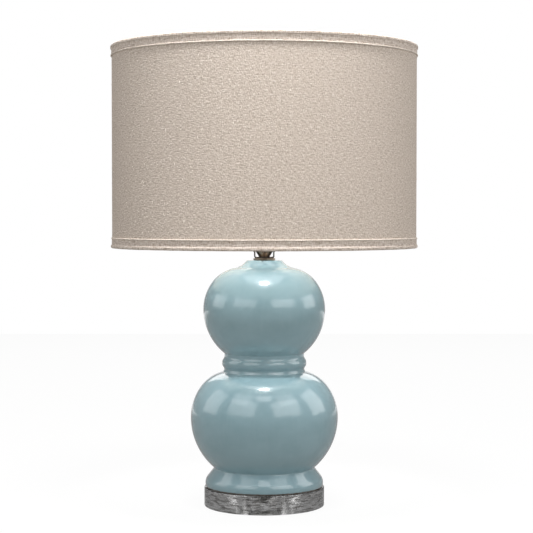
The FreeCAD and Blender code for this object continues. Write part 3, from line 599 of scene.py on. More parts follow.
@dataclass(frozen=True)
class Glaze(Finish):
    """Stoneware under a fired glossy glaze, wiped off the foot's edge, where the clay is bare.

    The glaze pools to a deeper tone in patches and runs down in faint streaks. Its surface is not quite even.
    """

    deep: str = "#8eafb8"
    pale: str = "#a3c0c8"
    clay: str = "#6e6052"
    bare_height: float = 28.3

    def draw(self, tree: bpy.types.NodeTree, surface: bpy.types.Node) -> None:
        """Patches, runs, the bare foot and an uneven gloss."""
        surface.inputs["IOR"].default_value = 1.6
        surface.inputs["Coat Weight"].default_value = 1.0
        surface.inputs["Coat Roughness"].default_value = 0.045
        patches = self.grain(tree, (60.0, 60.0, 40.0), 3.0)
        runs = self.grain(tree, (6.0, 6.0, 90.0), 3.0)
        specks = self.grain(tree, (0.9, 0.9, 0.9), 1.0)
        toned = self.between(tree, patches, linear(self.deep), linear(self.colour), 0.3, 0.55)
        toned = self.between(tree, runs, toned, linear(self.pale), 0.5, 1.6)
        toned = self.between(tree, specks, toned, linear(self.deep), 0.7, 0.95)
        height = add_node(tree, "ShaderNodeSeparateXYZ",
                          {"Vector": add_node(tree, "ShaderNodeTexCoord").outputs["Object"]}).outputs["Z"]
        edge = self.grain(tree, (4.0, 4.0, 4.0), 3.0)
        wavy = add_node(tree, "ShaderNodeMath", {0: edge, 1: 1.6 * MM, 2: height},
                        operation="MULTIPLY_ADD").outputs[0]
        bare = (self.bare_height + 0.6) * MM, (self.bare_height + 1.1) * MM
        tree.links.new(self.between(tree, wavy, linear(self.clay), toned, *bare),
                       surface.inputs["Base Color"])
        tree.links.new(self.amount(tree, wavy, 0.85, self.roughness, *bare), surface.inputs["Roughness"])
        slow = self.grain(tree, (30.0, 30.0, 14.0), 2.0)
        peel = self.grain(tree, (2.4, 2.4, 2.4), 2.0)
        under = self.bump(tree, slow, 0.12)
        uneven = self.bump(tree, peel, 0.003, under)
        tree.links.new(uneven, surface.inputs["Normal"])
        tree.links.new(uneven, surface.inputs["Coat Normal"])


@dataclass(frozen=True)
class Acrylic(Finish):
    """Cast acrylic with a polished face. Its smoky streaks are painted shade and painted light, for the light
    that runs round inside it.
    """

    # Dark and pale streak colours: painted shade and painted light, for what is seen through the clear block.
    painted_dark_streak: str = "#5d5a57"
    pale: str = "#ffffff"
    painted_streak_size: tuple[float, float, float] = (15.0, 2.3, 1.0)

    def draw(self, tree: bpy.types.NodeTree, surface: bpy.types.Node) -> None:
        """Wavy streaks round the edge: painted shade and painted light in the colour, and a bump for the marks
        that the saw and the flame polish left.
        """
        surface.inputs["IOR"].default_value = 1.49
        surface.inputs["Transmission Weight"].default_value = 1.0
        painted_streaks = self.grain(tree, self.painted_streak_size, 4.0, "UV")
        broad = self.grain(tree, (9.0, 6.0, 1.0), 2.0, "UV")
        toned = self.between(tree, painted_streaks, linear(self.painted_dark_streak), linear(self.pale), 0.4, 0.55)
        tree.links.new(self.between(tree, broad, toned, linear(self.colour), 0.55, 0.9),
                       surface.inputs["Base Color"])
        waves = self.bump(tree, broad, 0.4)
        tree.links.new(self.bump(tree, painted_streaks, 0.3, waves), surface.inputs["Normal"])


@dataclass(frozen=True)
class Linen(Finish):
    """Plain-woven linen blend, slubby: thick and thin threads both ways, with pale knots and dark flecks.

    A real thread is 0.4 mm wide. It is drawn 1.5 mm wide, which is the finest that the
    photograph's size shows.
    """

    dark: str = "#b9a898"
    light: str = "#f3e9df"
    fleck: str = "#8b7965"
    thread: float = 1.5
    weft_run: float = 5.0
    warp_run: float = 2.6

    def draw(self, tree: bpy.types.NodeTree, surface: bpy.types.Node) -> None:
        """Threads both ways on the cloth's own UV map, knots, flecks and the weave's bump."""
        surface.inputs["Specular IOR Level"].default_value = 0.25
        weft = self.grain(tree, (self.weft_run, self.thread, 1.0), 2.0, "UV")
        warp = self.grain(tree, (self.thread, self.warp_run, 1.0), 2.0, "UV")
        both = add_node(tree, "ShaderNodeMath", {0: weft, 1: warp}, operation="ADD").outputs[0]
        knots = self.grain(tree, (3.4, 2.0, 1.0), 2.0, "UV")
        flecks = self.grain(tree, (2.2, 1.7, 1.0), 1.0, "UV")
        bands = self.grain(tree, (150.0, 1.6, 1.0), 2.0, "UV")
        tone = self.between(tree, both, linear(self.dark), linear(self.colour), 0.72, 0.98)
        tone = self.between(tree, both, tone, linear(self.light), 1.02, 1.3)
        tone = self.between(tree, bands, tone, linear(self.dark), 0.62, 0.95)
        tone = self.between(tree, knots, tone, linear(self.light), 0.66, 0.82)
        tone = self.between(tree, flecks, tone, linear(self.fleck), 0.74, 0.92)
        tree.links.new(tone, surface.inputs["Base Color"])
        lay = self.bump(tree, both, 0.45)
        tree.links.new(self.bump(tree, knots, 0.25, lay), surface.inputs["Normal"])


@dataclass(frozen=True)
class Film(Finish):
    """White styrene film laminated to the cloth's back, with the threads faintly printed through."""

    warm: str = "#e9e4da"

    def draw(self, tree: bpy.types.NodeTree, surface: bpy.types.Node) -> None:
        """A faint print of the weave."""
        surface.inputs["IOR"].default_value = 1.55
        weft = self.grain(tree, (30.0, 1.2, 1.0), 2.0, "UV")
        tree.links.new(self.between(tree, weft, linear(self.warm), linear(self.colour)),
                       surface.inputs["Base Color"])
        tree.links.new(self.bump(tree, weft, 0.05), surface.inputs["Normal"])


@dataclass(frozen=True)
class Frosted(Finish):
    """Glass with a soft white coat inside."""

    def draw(self, tree: bpy.types.NodeTree, surface: bpy.types.Node) -> None:
        """A smooth skin over a white that is faintly uneven."""
        surface.inputs["IOR"].default_value = 1.5
        surface.inputs["Coat Weight"].default_value = 0.6
        surface.inputs["Coat Roughness"].default_value = 0.04
        cloud = self.grain(tree, (12.0, 12.0, 12.0))
        tree.links.new(self.between(tree, cloud, linear("#e4e3de"), linear(self.colour)),
                       surface.inputs["Base Color"])


class Finishes:
    """The lamp's finishes by the slots that they fill."""

    # Moulded clear polyurethane: a soft dome that takes the tone of what it stands on.
    bumper = Moulded("clear_polyurethane", "#e6e4df", 0.15, "#d8d5cf", 1.0, 0.01, 0.9)
    # Cast and polished acrylic: clear faces, and an edge with wavy streaks of painted shade and painted light.
    acrylic = Acrylic("cast_acrylic", "#c3c0bc", 0.0)
    # Zinc-plated steel: a cool grey gloss, duller in patches, with fine turning marks.
    steel = Metal("zinc_plated_steel", "#b9b9b4", 0.32, "#8e8c85")
    # Stoneware under a fired glaze: a wet gloss over a blue that pools and runs a little.
    glaze = Glaze("glazed_stoneware", "#99b9c2", 0.2)
    # Moulded clear nylon: milky, with a satin face.
    grommet = Moulded("clear_nylon_grommet", "#d9d6cc", 0.35, "#b7b3a6", 0.8, 0.01)
    # Antiqued nickel plate: a warm soft gloss that turns browner in patches.
    nickel = Metal("antique_nickel_plate", "#c6b7a8", 0.26, "#9d8c7c", (3.0, 3.0, 20.0), 0.01)
    # Darker copy of the metal for the saddle, which is painted shade: dark and low, so that its edges stand out
    # against the light.
    saddle_painted_shade = Metal("saddle_steel_painted_shade", "#77706a", 0.32, "#514c48")
    # Pressed fibre: matt and dark, like thick card.
    fibre = Moulded("pressed_fibre", "#3f3a34", 0.75, "#2a2621", 0.5, 0.05)
    # Moulded phenolic: near black with a dull sheen.
    phenolic = Moulded("moulded_phenolic", "#23201e", 0.35, "#171514", 0.5, 0.02)
    # Drawn brass: a yellow gloss with fine marks along the draw.
    brass = Metal("drawn_brass", "#c9a765", 0.25, "#9a7d47")
    # Turned bright steel: a clean grey gloss on the shaft.
    switch_steel = Metal("bright_steel", "#b4b4b0", 0.25, "#8c8a84")
    # Moulded phenolic knob: black, with light caught on its flutes.
    switch_plastic = Moulded("switch_phenolic", "#1f1c1a", 0.3, "#151312", 0.5, 0.02)
    # Powder-coated wire: an even white with a faint orange peel.
    wire_white = Moulded("powder_coated_wire", "#e4e1da", 0.4, "#cfcbc2", 0.5, 0.03)
    # Laminated styrene film: a plain warm white, with the weave faintly printed through.
    liner = Film("white_styrene_liner", "#f3efe8", 0.5)
    # Woven slub linen: matt and warm, with thick and thin threads, pale knots and dark flecks.
    linen = Linen("slub_linen", "#d8cabd", 0.9)
    # Folded linen tape: the same cloth with longer threads, which run round the rim.
    tape = Linen("linen_tape", "#dbcdc1", 0.9, dark="#b3a191", light="#f2e9e0", weft_run=9.0, warp_run=5.0)
    # Pressed fold of the tape, where the cloth is doubled: a slightly lighter line, which is a painted highlight
    # on the raised fold.
    fold = Linen("pressed_linen_fold_painted_highlight", "#e3d8cc", 0.9, dark="#c9baab", weft_run=9.0)
    # Spun slubs: pale specks that stand just proud of the weave.
    slub = Linen("spun_linen_slub", "#efe6dc", 0.9, dark="#d9ccbe")
    # Rolled aluminium: a pale cool gloss on the screw.
    bulb_metal = Metal("rolled_aluminium", "#c6c6c3", 0.28, "#9d9c97")
    # White-coated glass: a smooth shine over a soft uneven white.
    bulb_glass = Frosted("soft_white_glass", "#f0efea", 0.2)


# ---------------------------------------------------------------------------
# Patterns that repeat
# ---------------------------------------------------------------------------

class Repeats:
    """The Geometry Nodes trees: copies on a circle, a screw thread and the linen's slubs."""

    def __init__(self) -> None:
        """Build the three trees."""
        self.circle = self.circle_tree()
        self.thread = self.thread_tree()
        self.slubs = self.slub_tree()

    @staticmethod
    def circle_tree() -> bpy.types.NodeTree:
        """Copies of the host on a circle about Z, each turned outwards."""
        tree, entry = new_geometry_tree("CopiesOnCircle", {
            "Count": ("NodeSocketInt", 4), "Radius": ("NodeSocketFloat", 0.05),
            "Start": ("NodeSocketFloat", 0.0), "Material": ("NodeSocketMaterial", None)})
        spots = add_node(tree, "GeometryNodeMeshCircle", {
            "Vertices": entry.outputs["Count"], "Radius": entry.outputs["Radius"]})
        place = add_node(tree, "ShaderNodeSeparateXYZ",
                         {"Vector": add_node(tree, "GeometryNodeInputPosition").outputs[0]})
        angle = add_node(tree, "ShaderNodeMath", {0: place.outputs["Y"], 1: place.outputs["X"]},
                         operation="ARCTAN2")
        turn = add_node(tree, "ShaderNodeCombineXYZ", {"Z": angle.outputs[0]})
        copies = add_node(tree, "GeometryNodeInstanceOnPoints", {
            "Points": spots.outputs["Mesh"], "Instance": entry.outputs["Geometry"],
            "Rotation": add_node(tree, "FunctionNodeEulerToRotation", {"Euler": turn.outputs[0]}).outputs[0]})
        start = add_node(tree, "ShaderNodeCombineXYZ", {"Z": entry.outputs["Start"]})
        turned = add_node(tree, "GeometryNodeTransform", {
            "Geometry": copies.outputs[0],
            "Rotation": add_node(
                tree, "FunctionNodeEulerToRotation", {"Euler": start.outputs[0]}).outputs[0]})
        end_geometry_tree(tree, turned.outputs[0], entry)
        return tree

    @staticmethod
    def thread_tree() -> bpy.types.NodeTree:
        """A screw thread's rib, which climbs from Z = 0."""
        tree, entry = new_geometry_tree("ScrewThread", {
            "Radius": ("NodeSocketFloat", 0.005), "Pitch": ("NodeSocketFloat", 0.001),
            "Turns": ("NodeSocketFloat", 5.0), "Rib": ("NodeSocketFloat", 0.0003),
            "Material": ("NodeSocketMaterial", None)})
        rise = add_node(tree, "ShaderNodeMath", {0: entry.outputs["Pitch"], 1: entry.outputs["Turns"]},
                        operation="MULTIPLY")
        spiral = add_node(tree, "GeometryNodeCurveSpiral", {
            "Resolution": 40, "Rotations": entry.outputs["Turns"], "Start Radius": entry.outputs["Radius"],
            "End Radius": entry.outputs["Radius"], "Height": rise.outputs[0]})
        section = add_node(tree, "GeometryNodeCurvePrimitiveCircle", {
            "Resolution": 6, "Radius": entry.outputs["Rib"]})
        rib = add_node(tree, "GeometryNodeCurveToMesh", {
            "Curve": spiral.outputs[0], "Profile Curve": section.outputs[0], "Fill Caps": True})
        end_geometry_tree(tree, rib.outputs[0], entry)
        return tree

    @staticmethod
    def slub_tree() -> bpy.types.NodeTree:
        """Thick places in the linen's threads: small spindles along or across the cloth of a drum."""
        tree, entry = new_geometry_tree("LinenSlubs", {
            "Density": ("NodeSocketFloat", 4000.0), "Shortest": ("NodeSocketFloat", 0.002),
            "Longest": ("NodeSocketFloat", 0.006), "Thick": ("NodeSocketFloat", 0.0003),
            "Upright share": ("NodeSocketFloat", 0.3), "Seed": ("NodeSocketInt", 7),
            "Material": ("NodeSocketMaterial", None)})
        spots = add_node(tree, "GeometryNodeDistributePointsOnFaces", {
            "Mesh": entry.outputs["Geometry"], "Density": entry.outputs["Density"],
            "Seed": entry.outputs["Seed"]})
        place = add_node(tree, "ShaderNodeSeparateXYZ",
                         {"Vector": add_node(tree, "GeometryNodeInputPosition").outputs[0]})
        angle = add_node(tree, "ShaderNodeMath", {0: place.outputs["Y"], 1: place.outputs["X"]},
                         operation="ARCTAN2")
        upright = add_node(tree, "FunctionNodeRandomValue", {
            "Probability": entry.outputs["Upright share"], "Seed": entry.outputs["Seed"]},
            data_type="BOOLEAN")
        lie = add_node(tree, "GeometryNodeSwitch", {
            "Switch": upright.outputs[3], "False": math.pi / 2, "True": 0.0}, input_type="FLOAT")
        turn = add_node(tree, "ShaderNodeCombineXYZ", {"X": lie.outputs[0], "Z": angle.outputs[0]})
        length = add_node(tree, "FunctionNodeRandomValue", {
            2: entry.outputs["Shortest"], 3: entry.outputs["Longest"], "Seed": entry.outputs["Seed"]},
            data_type="FLOAT")
        size = add_node(tree, "ShaderNodeCombineXYZ", {
            "X": entry.outputs["Thick"], "Y": entry.outputs["Thick"], "Z": length.outputs[1]})
        spindle = add_node(tree, "GeometryNodeMeshUVSphere", {"Segments": 6, "Rings": 4, "Radius": 1.0})
        slubs = add_node(tree, "GeometryNodeInstanceOnPoints", {
            "Points": spots.outputs["Points"], "Instance": spindle.outputs["Mesh"],
            "Rotation": add_node(tree, "FunctionNodeEulerToRotation", {"Euler": turn.outputs[0]}).outputs[0],
            "Scale": size.outputs[0]})
        end_geometry_tree(tree, slubs.outputs[0], entry)
        return tree

    def ring(self, name: str, one: Shell, count: int, radius: float, start: float, finish: Finish,
             place: Matrix | None = None) -> bpy.types.Object:
        """Set copies of one shell on a circle.

        Args:
            name: Name of the new object.
            one: The shell, with +X pointing outwards.
            count: Number of copies.
            radius: Radius of the circle in millimetres.
            start: Turn of the first copy in degrees.
            finish: Finish of the copies.
            place: Where the circle's centre goes, in metres.

        Returns:
            The copies as one object.
        """
        return run_tree(name, self.circle, mesh_object(name, one), {
            "Count": count, "Radius": radius * MM, "Start": math.radians(start),
            "Material": finish.material()},
            place)

    def screw(self, name: str, radius: float, pitch: float, rib: float, low: float, high: float,
              finish: Finish) -> bpy.types.Object:
        """Wind a thread's rib round the axis.

        Args:
            name: Name of the new object.
            radius: Radius that the rib's middle follows, in millimetres.
            pitch: Rise in one turn.
            rib: Half thickness of the rib.
            low: Height where it starts.
            high: Height where it ends.
            finish: Its finish.

        Returns:
            The rib as one object.
        """
        host = mesh_object(name, Shell([Vector()], [], []))
        return run_tree(name, self.thread, host, {
            "Radius": radius * MM, "Pitch": pitch * MM, "Turns": (high - low) / pitch, "Rib": rib * MM,
            "Material": finish.material()}, Matrix.Translation((0, 0, low * MM)))


# ---------------------------------------------------------------------------
# Base
# ---------------------------------------------------------------------------

@dataclass(frozen=True)
class AcrylicBase:
    """The clear disc, the four bumpers under it, and the nut and washers in its recess."""

    low: float = 1.2
    thick: float = 25.0
    radius: float = 80.4
    edge: float = 0.9
    recess: float = 25.4
    recess_depth: float = 18.5
    bore: float = 5.35
    bumper: float = 6.0
    bumper_circle: float = 62.0
    bumper_count: int = 4

    def disc(self) -> bpy.types.Object:
        """The disc, bored for the pipe and counterbored for the nut."""
        top, web = self.low + self.thick, self.low + self.recess_depth
        line = outline([
            To(self.recess, self.low, soft=0.5), To(self.radius, self.low, soft=self.edge),
            To(self.radius, top, soft=self.edge), To(self.bore, top, soft=0.3), To(self.bore, web),
            To(self.recess, web, soft=0.8)])
        return settle(mesh_object("base_disc_clear", lathe(line, 192)), Finishes.acrylic,
                      Role("stand", "acrylic", ("base_disc",)))

    def bumpers(self, repeats: Repeats) -> bpy.types.Object:
        """Four low domes that keep the disc off the table."""
        dome = outline([
            To(0, 0.0), To(self.bumper * 0.8, 0.0, soft=0.3), To(self.bumper, self.low * 0.75, soft=0.3),
            To(self.bumper, self.low), To(0, self.low)], closed=False)
        item = repeats.ring("base_bumpers", lathe(dome, 32, closed=False), self.bumper_count,
                            self.bumper_circle, 45.0, Finishes.bumper)
        return settle(item, Finishes.bumper, Role("stand", "bumper", ("base_feet",)))

    def build(self, repeats: Repeats) -> None:
        """Make the disc and bumpers and dress the hardware."""
        self.disc()
        self.bumpers(repeats)
        for node in ("base_washer", "lock_washer", "base_nut"):
            dress_node(node, Finishes.steel)


@dataclass(frozen=True)
class LampPipe:
    """The threaded pipe that holds the stack together."""

    radius: float = 4.95
    bore: float = 3.6
    low: float = 6.9
    top: float = 346.0
    pitch: float = FINE_PITCH

    def build(self, repeats: Repeats) -> None:
        """A smooth tube a thread's depth thinner, with its thread at the two ends that show."""
        rib = 0.3
        core = self.radius - rib
        line = outline([To(self.bore, self.low), To(core, self.low, soft=0.4),
                        To(core, self.top, soft=0.4), To(self.bore, self.top)])
        settle(mesh_object("lamp_pipe_tube", lathe(line, 48)), Finishes.steel,
               Role("stand", "zinc_steel", ("lamp_pipe",)))
        for name, low, high in (("pipe_thread_low", self.low + 0.4, 19.4), ("pipe_thread_top", 335.0, 345.4)):
            rib_item = repeats.screw(name, core, self.pitch, rib, low, high, Finishes.steel)
            settle(rib_item, Finishes.steel, Role("stand", "zinc_steel", ()))


# ---------------------------------------------------------------------------
# Ceramic body
# ---------------------------------------------------------------------------

@dataclass(frozen=True)
class Arc:
    """A circle of an outline, by its centre and radius in millimetres."""

    x: float
    z: float
    radius: float

    def at(self, degrees: float, grow: float = 0.0) -> tuple[float, float]:
        """The point at an angle above the horizontal, on the circle or grown by some millimetres."""
        turn = math.radians(degrees)
        return self.x + (self.radius + grow) * math.cos(turn), self.z + (self.radius + grow) * math.sin(turn)


@dataclass(frozen=True)
class CeramicBody:
    """Two gourds with a beaded belt between them, on a flared foot, thrown and glazed."""

    seat: float = 26.2
    wall: float = 6.0
    foot: Arc = Arc(65.5, 31.8, 13.5)
    throat: tuple[float, float] = (68.2, 50.3)
    low_under: Arc = Arc(10.1, 119.6, 88.4)
    low_over: Arc = Arc(28.6, 119.6, 69.9)
    low_shoulder: Arc = Arc(42.677, 129.827, 52.5)
    waist: float = 53.6
    belt_low: float = 184.2
    belt_high: float = 203.6
    belt: Arc = Arc(47.6, 192.6, 9.0)
    belt_cove: float = 8.0
    up_under: Arc = Arc(6.2, 264.3, 75.5)
    up_over: Arc = Arc(19.9, 264.3, 61.8)
    up_shoulder: Arc = Arc(31.425, 272.766, 47.5)
    shoulder_end: float = 80.0
    neck_curve: float = 24.9
    collar: Arc = Arc(21.436, 326.0, 4.0)
    collar_top: float = 330.0
    outlet_turn: float = -37.3
    bushing: float = 6.3
    unevenness: float = 0.22
    low_radius: float = 98.5
    up_radius: float = 81.7

    def outside(self) -> list[To]:
        """Corners from under the foot up to the collar."""
        left, right = Turn.LEFT, Turn.RIGHT
        neck = Arc(*self.up_shoulder.at(self.shoulder_end, self.neck_curve), self.neck_curve)
        skirt = math.sqrt(self.foot.radius ** 2 - (self.foot.z - self.seat - 1.8) ** 2)
        return [
            To(70.0, self.seat, soft=0.5), To(76.2, self.seat, soft=0.5),
            To(self.foot.x + skirt, self.seat + 1.8),
            To(*self.foot.at(40.0), self.foot.radius, left), To(*self.throat),
            To(*self.low_under.at(-48.8), 2.0, right),
            To(self.low_radius, self.low_under.z, self.low_under.radius, left),
            To(*self.low_over.at(36.0), self.low_over.radius, left),
            To(*self.low_shoulder.at(76.4), self.low_shoulder.radius, left),
            To(self.waist, self.belt_low, soft=0.8),
            To(*self.belt.at(-42.0), self.belt_cove, right), To(*self.belt.at(42.0), self.belt.radius, left),
            To(self.waist, self.belt_high, self.belt_cove, right), To(*self.up_under.at(-51.4), soft=0.8),
            To(self.up_radius, self.up_under.z, self.up_under.radius, left),
            To(*self.up_over.at(36.3), self.up_over.radius, left),
            To(*self.up_shoulder.at(self.shoulder_end), self.up_shoulder.radius, left),
            To(*neck.at(220.0), self.neck_curve, right), To(*self.collar.at(40.0)),
            To(self.collar.x, self.collar_top, self.collar.radius, left), To(7.0, self.collar_top, soft=0.6)]

    def inside(self) -> list[To]:
        """Corners down the inner wall, to the foot's well."""
        right, thin = Turn.RIGHT, -self.wall
        floor = self.seat + 3.0
        return [
            To(7.0, 322.2), To(18.5, 322.2), To(*self.up_shoulder.at(self.shoulder_end - 14.0, thin)),
            To(*self.up_over.at(36.3, thin), self.up_shoulder.radius + thin, right),
            To(self.up_radius + thin, self.up_over.z, self.up_over.radius + thin, right),
            To(*self.up_under.at(-46.4, thin), self.up_under.radius + thin, right),
            To(self.waist + thin, self.belt_high), To(self.waist + thin, self.belt_low),
            To(*self.low_shoulder.at(70.4, thin)),
            To(*self.low_over.at(36.0, thin), self.low_shoulder.radius + thin, right),
            To(self.low_radius + thin, self.low_over.z, self.low_over.radius + thin, right),
            To(*self.low_under.at(-45.8, thin), self.low_under.radius + thin, right),
            To(self.throat[0] + thin, self.throat[1]), To(70.0, self.foot.at(40.0)[1] - 2.0),
            To(70.0, floor + 6.0),
            To(8.0, floor + 6.0), To(8.0, floor), To(70.0, floor)]

    def thrown(self, angle: float, radius: float, height: float) -> tuple[float, float]:
        """Swell the wall by a little, as a thrown and fired pot is never quite round."""
        spot = Vector((math.cos(angle), math.sin(angle), height / 70.0)) * 0.9
        return radius + noise.noise(spot) * self.unevenness * min(radius / 60.0, 1.0), height

    def build(self) -> None:
        """Turn the body and drill it for the cord's bushing."""
        line = outline(self.outside() + self.inside(), step=1.7)
        item = mesh_object("ceramic_gourd", lathe(line, 256, warp=self.thrown))
        drill = lathe([(0, -20.0), (self.bushing, -20.0), (self.bushing, 20.0), (0, 20.0)], 48, closed=False)
        cut_away(item, drill.moved(self.outlet()))
        item.data.set_sharp_from_angle(angle=math.radians(35))
        settle(item, Finishes.glaze, Role("stand", "glazed_ceramic", ("ceramic_body",)))
        dress_node("cord_bushing", Finishes.grommet)

    def outlet(self) -> Matrix:
        """Place of the cord outlet in millimetres: on the lower gourd at the back, +Z pointing out."""
        across, up = self.low_under.at(self.outlet_turn)
        return Matrix.Translation((0, across, up)) @ Matrix.Rotation(
            math.radians(-90 + self.outlet_turn), 4, "X")


# ---------------------------------------------------------------------------
# Neck and socket
# ---------------------------------------------------------------------------

@dataclass(frozen=True)
class Neck:
    """The check ring, the harp's saddle and the socket's cap."""

    check: float = 14.65
    check_low: float = 330.0
    check_thick: float = 2.5
    hole: float = 5.3
    saddle_low: float = 332.5
    saddle_half: float = 13.65
    saddle_thick: float = 1.8
    saddle_width: float = 16.0
    knee: float = 340.5
    post: float = 28.6
    post_radius: float = 2.4
    post_top: float = 372.0
    tab_end: float = 32.0
    cap_low: float = 334.3

    def check_ring(self) -> None:
        """A stepped ring that centres the saddle on the collar."""
        top = self.check_low + self.check_thick
        line = outline([To(self.hole, self.check_low), To(self.check, self.check_low, soft=0.9),
                        To(self.check, top, soft=0.9), To(self.hole, top)])
        settle(mesh_object("check_ring_turned", lathe(line, 96)), Finishes.nickel,
               Role("stand", "nickel", ("check_ring",)))

    def saddle(self) -> None:
        """A bent strip with a prong on each arm."""
        mid = self.saddle_thick / 2
        reach = self.post - self.post_radius - self.saddle_half
        side, level = self.saddle_half - mid, self.knee + reach + mid
        knee = self.knee + mid * math.tan(math.radians(22.5))
        half = outline([
            To(0, self.saddle_low + mid), To(side, self.saddle_low + mid, soft=2.1), To(side, knee, soft=1.2),
            To(side + level - knee, level, soft=1.2), To(self.tab_end - 1.2, level),
            To(self.tab_end - 0.4, level),
            To(self.tab_end, level)], closed=False)
        path = [Vector((-x, 0, z)) for x, z in half[:0:-1]] + [Vector((x, 0, z)) for x, z in half]
        ends = [0.8, 0.93]
        sizes = ends + [1.0] * (len(path) - 4) + ends[::-1]
        strip = sweep(path, strip_section(self.saddle_thick, self.saddle_width, 0.45),
                      Vector((0, 1, 0)), sizes)
        prong = outline([To(0, level - 1.5), To(self.post_radius, level - 1.5),
                         To(self.post_radius, self.post_top, soft=0.5), To(0, self.post_top)], closed=False)
        post = lathe(prong, 24, closed=False)
        both = strip + post.moved(Matrix.Translation((self.post, 0, 0))) + post.moved(
            Matrix.Translation((-self.post, 0, 0)))
        # The saddle's darker finish is painted shade.
        settle(mesh_object("harp_saddle_bent", both), Finishes.saddle_painted_shade,
               Role("stand", "nickel", ("harp_saddle",)))

    def socket_cap(self) -> None:
        """A hub on the pipe that opens into a thin bell with a rolled lip."""
        line = outline([
            To(5.0, self.cap_low), To(7.0, self.cap_low, soft=0.6), To(10.7, 340.4, soft=0.3),
            To(17.5, 351.0, 24.0, Turn.LEFT), To(17.5, 352.2), To(17.75, 352.8, soft=0.3),
            To(17.5, 353.4), To(17.5, 357.0, soft=0.3), To(16.7, 357.0, soft=0.3), To(16.7, 351.0),
            To(9.9, 343.5, 24.0, Turn.RIGHT), To(5.0, 343.5)], step=1.0)
        settle(mesh_object("socket_cap_spun", lathe(line, 96)), Finishes.nickel,
               Role("stand", "nickel", ("socket_cap",)))
        dress_node("cap_set_screw", Finishes.steel)

    def build(self) -> None:
        """Make the three pieces."""
        self.check_ring()
        self.saddle()
        self.socket_cap()


@dataclass(frozen=True)
class Socket:
    """The metal shell with its fibre sleeve, the moulded core, the screw shell and the turn switch."""

    shell: float = 16.5
    shell_low: float = 353.0
    shell_top: float = 399.0
    sleeve: float = 15.8
    sleeve_low: float = 354.5
    sleeve_top: float = 397.5
    screw: float = 14.0
    screw_low: float = 374.0
    screw_top: float = 396.5
    switch_height: float = 365.0
    shaft: float = 2.4
    shaft_hole: float = 3.2
    knob: float = 7.2
    knob_back: float = 19.5
    knob_length: float = 15.0
    flutes: int = 12
    flute_depth: float = 0.75

    def forward(self) -> Matrix:
        """Turns +Z to -Y, at the switch's height, in millimetres."""
        return Matrix.Translation((0, 0, self.switch_height)) @ Matrix.Rotation(math.radians(90), 4, "X")

    def bored_tube(self, name: str, line: Line, finish: Finish, role: Role) -> None:
        """A turned tube with the hole for the switch's shaft."""
        item = mesh_object(name, lathe(line, 96))
        hole = lathe([(0, 8.0), (self.shaft_hole, 8.0), (self.shaft_hole, 20.0), (0, 20.0)], 32, closed=False)
        cut_away(item, hole.moved(self.forward()))
        item.data.set_sharp_from_angle(angle=math.radians(35))
        settle(item, finish, role)

    def shells(self, repeats: Repeats) -> None:
        """The outer shell with two rolled beads, the sleeve, and the screw shell with its thread."""
        beads = [corner for level in (358.6, 396.4) for corner in (
            To(self.shell, level - 0.9), To(self.shell + 0.45, level, soft=0.5), To(self.shell, level + 0.9))]
        self.bored_tube("socket_shell_drawn", outline([
            To(self.shell - 0.6, self.shell_low), To(self.shell, self.shell_low, soft=0.2), *beads,
            To(self.shell, self.shell_top, soft=0.2), To(self.shell - 0.6, self.shell_top, soft=0.2)]),
            Finishes.nickel, Role("stand", "nickel", ("socket_shell",)))
        self.bored_tube("socket_sleeve_fibre", outline([
            To(self.sleeve - 0.9, self.sleeve_low), To(self.sleeve, self.sleeve_low),
            To(self.sleeve, self.sleeve_top), To(self.sleeve - 0.9, self.sleeve_top)]),
            Finishes.fibre, Role("stand", "fibre", ("socket_insulator",)))
        wall = outline([To(self.screw - 0.5, self.screw_low), To(self.screw, self.screw_low),
                        To(self.screw, self.screw_top, soft=0.2),
                        To(self.screw - 0.5, self.screw_top, soft=0.2)])
        settle(mesh_object("screw_shell_drawn", lathe(wall, 96)), Finishes.brass,
               Role("stand", "brass", ("screw_shell",)))
        rib = repeats.screw("screw_shell_thread", self.screw - 0.55, MEDIUM_PITCH, 0.3, self.screw_low + 5,
                            self.screw_top - 1, Finishes.brass)
        settle(rib, Finishes.brass, Role("stand", "brass", ()))

    def fluted(self, angle: float, radius: float, height: float) -> tuple[float, float]:
        """Press flutes into the knob's grip, but not into its face or back."""
        dip = max(math.cos(self.flutes * angle), -0.2) + 0.2
        grip = radius / self.knob
        return radius - self.flute_depth * dip * grip ** 4, height

    def switch(self) -> None:
        """The shaft and its fluted knob."""
        front = self.knob_back + self.knob_length
        rod = outline([To(0, 9.0), To(self.shaft, 9.0, soft=0.3), To(self.shaft, self.knob_back + 9.9),
                       To(0, self.knob_back + 9.9)], closed=False)
        settle(mesh_object("switch_shaft_turned", lathe(rod, 32, closed=False).moved(self.forward())),
               Finishes.switch_steel, Role("switch", "switch_steel", ("switch_shaft",)))
        grip = outline([
            To(self.shaft, self.knob_back), To(self.knob - 0.6, self.knob_back, soft=0.5),
            To(self.knob, self.knob_back + 2.0, soft=0.5), To(self.knob - 0.4, front - 1.6, soft=1.2),
            To(self.knob - 2.6, front, soft=0.8), To(2.0, front - 0.5), To(0, front - 0.5),
            To(0, self.knob_back + 10.0), To(self.shaft, self.knob_back + 10.0)], closed=True)
        knob = lathe(grip, 144, warp=self.fluted)
        settle(mesh_object("switch_knob_fluted", knob.moved(self.forward())), Finishes.switch_plastic,
               Role("switch", "switch_plastic", ("switch_knob",)))

    def build(self, repeats: Repeats) -> None:
        """Make the socket and dress its moulded parts."""
        self.shells(repeats)
        self.switch()
        for node, finish in (("socket_core", Finishes.phenolic), ("centre_contact", Finishes.brass),
                             ("terminal_screws", Finishes.brass)):
            dress_node(node, finish)


# ---------------------------------------------------------------------------
# Harp
# ---------------------------------------------------------------------------

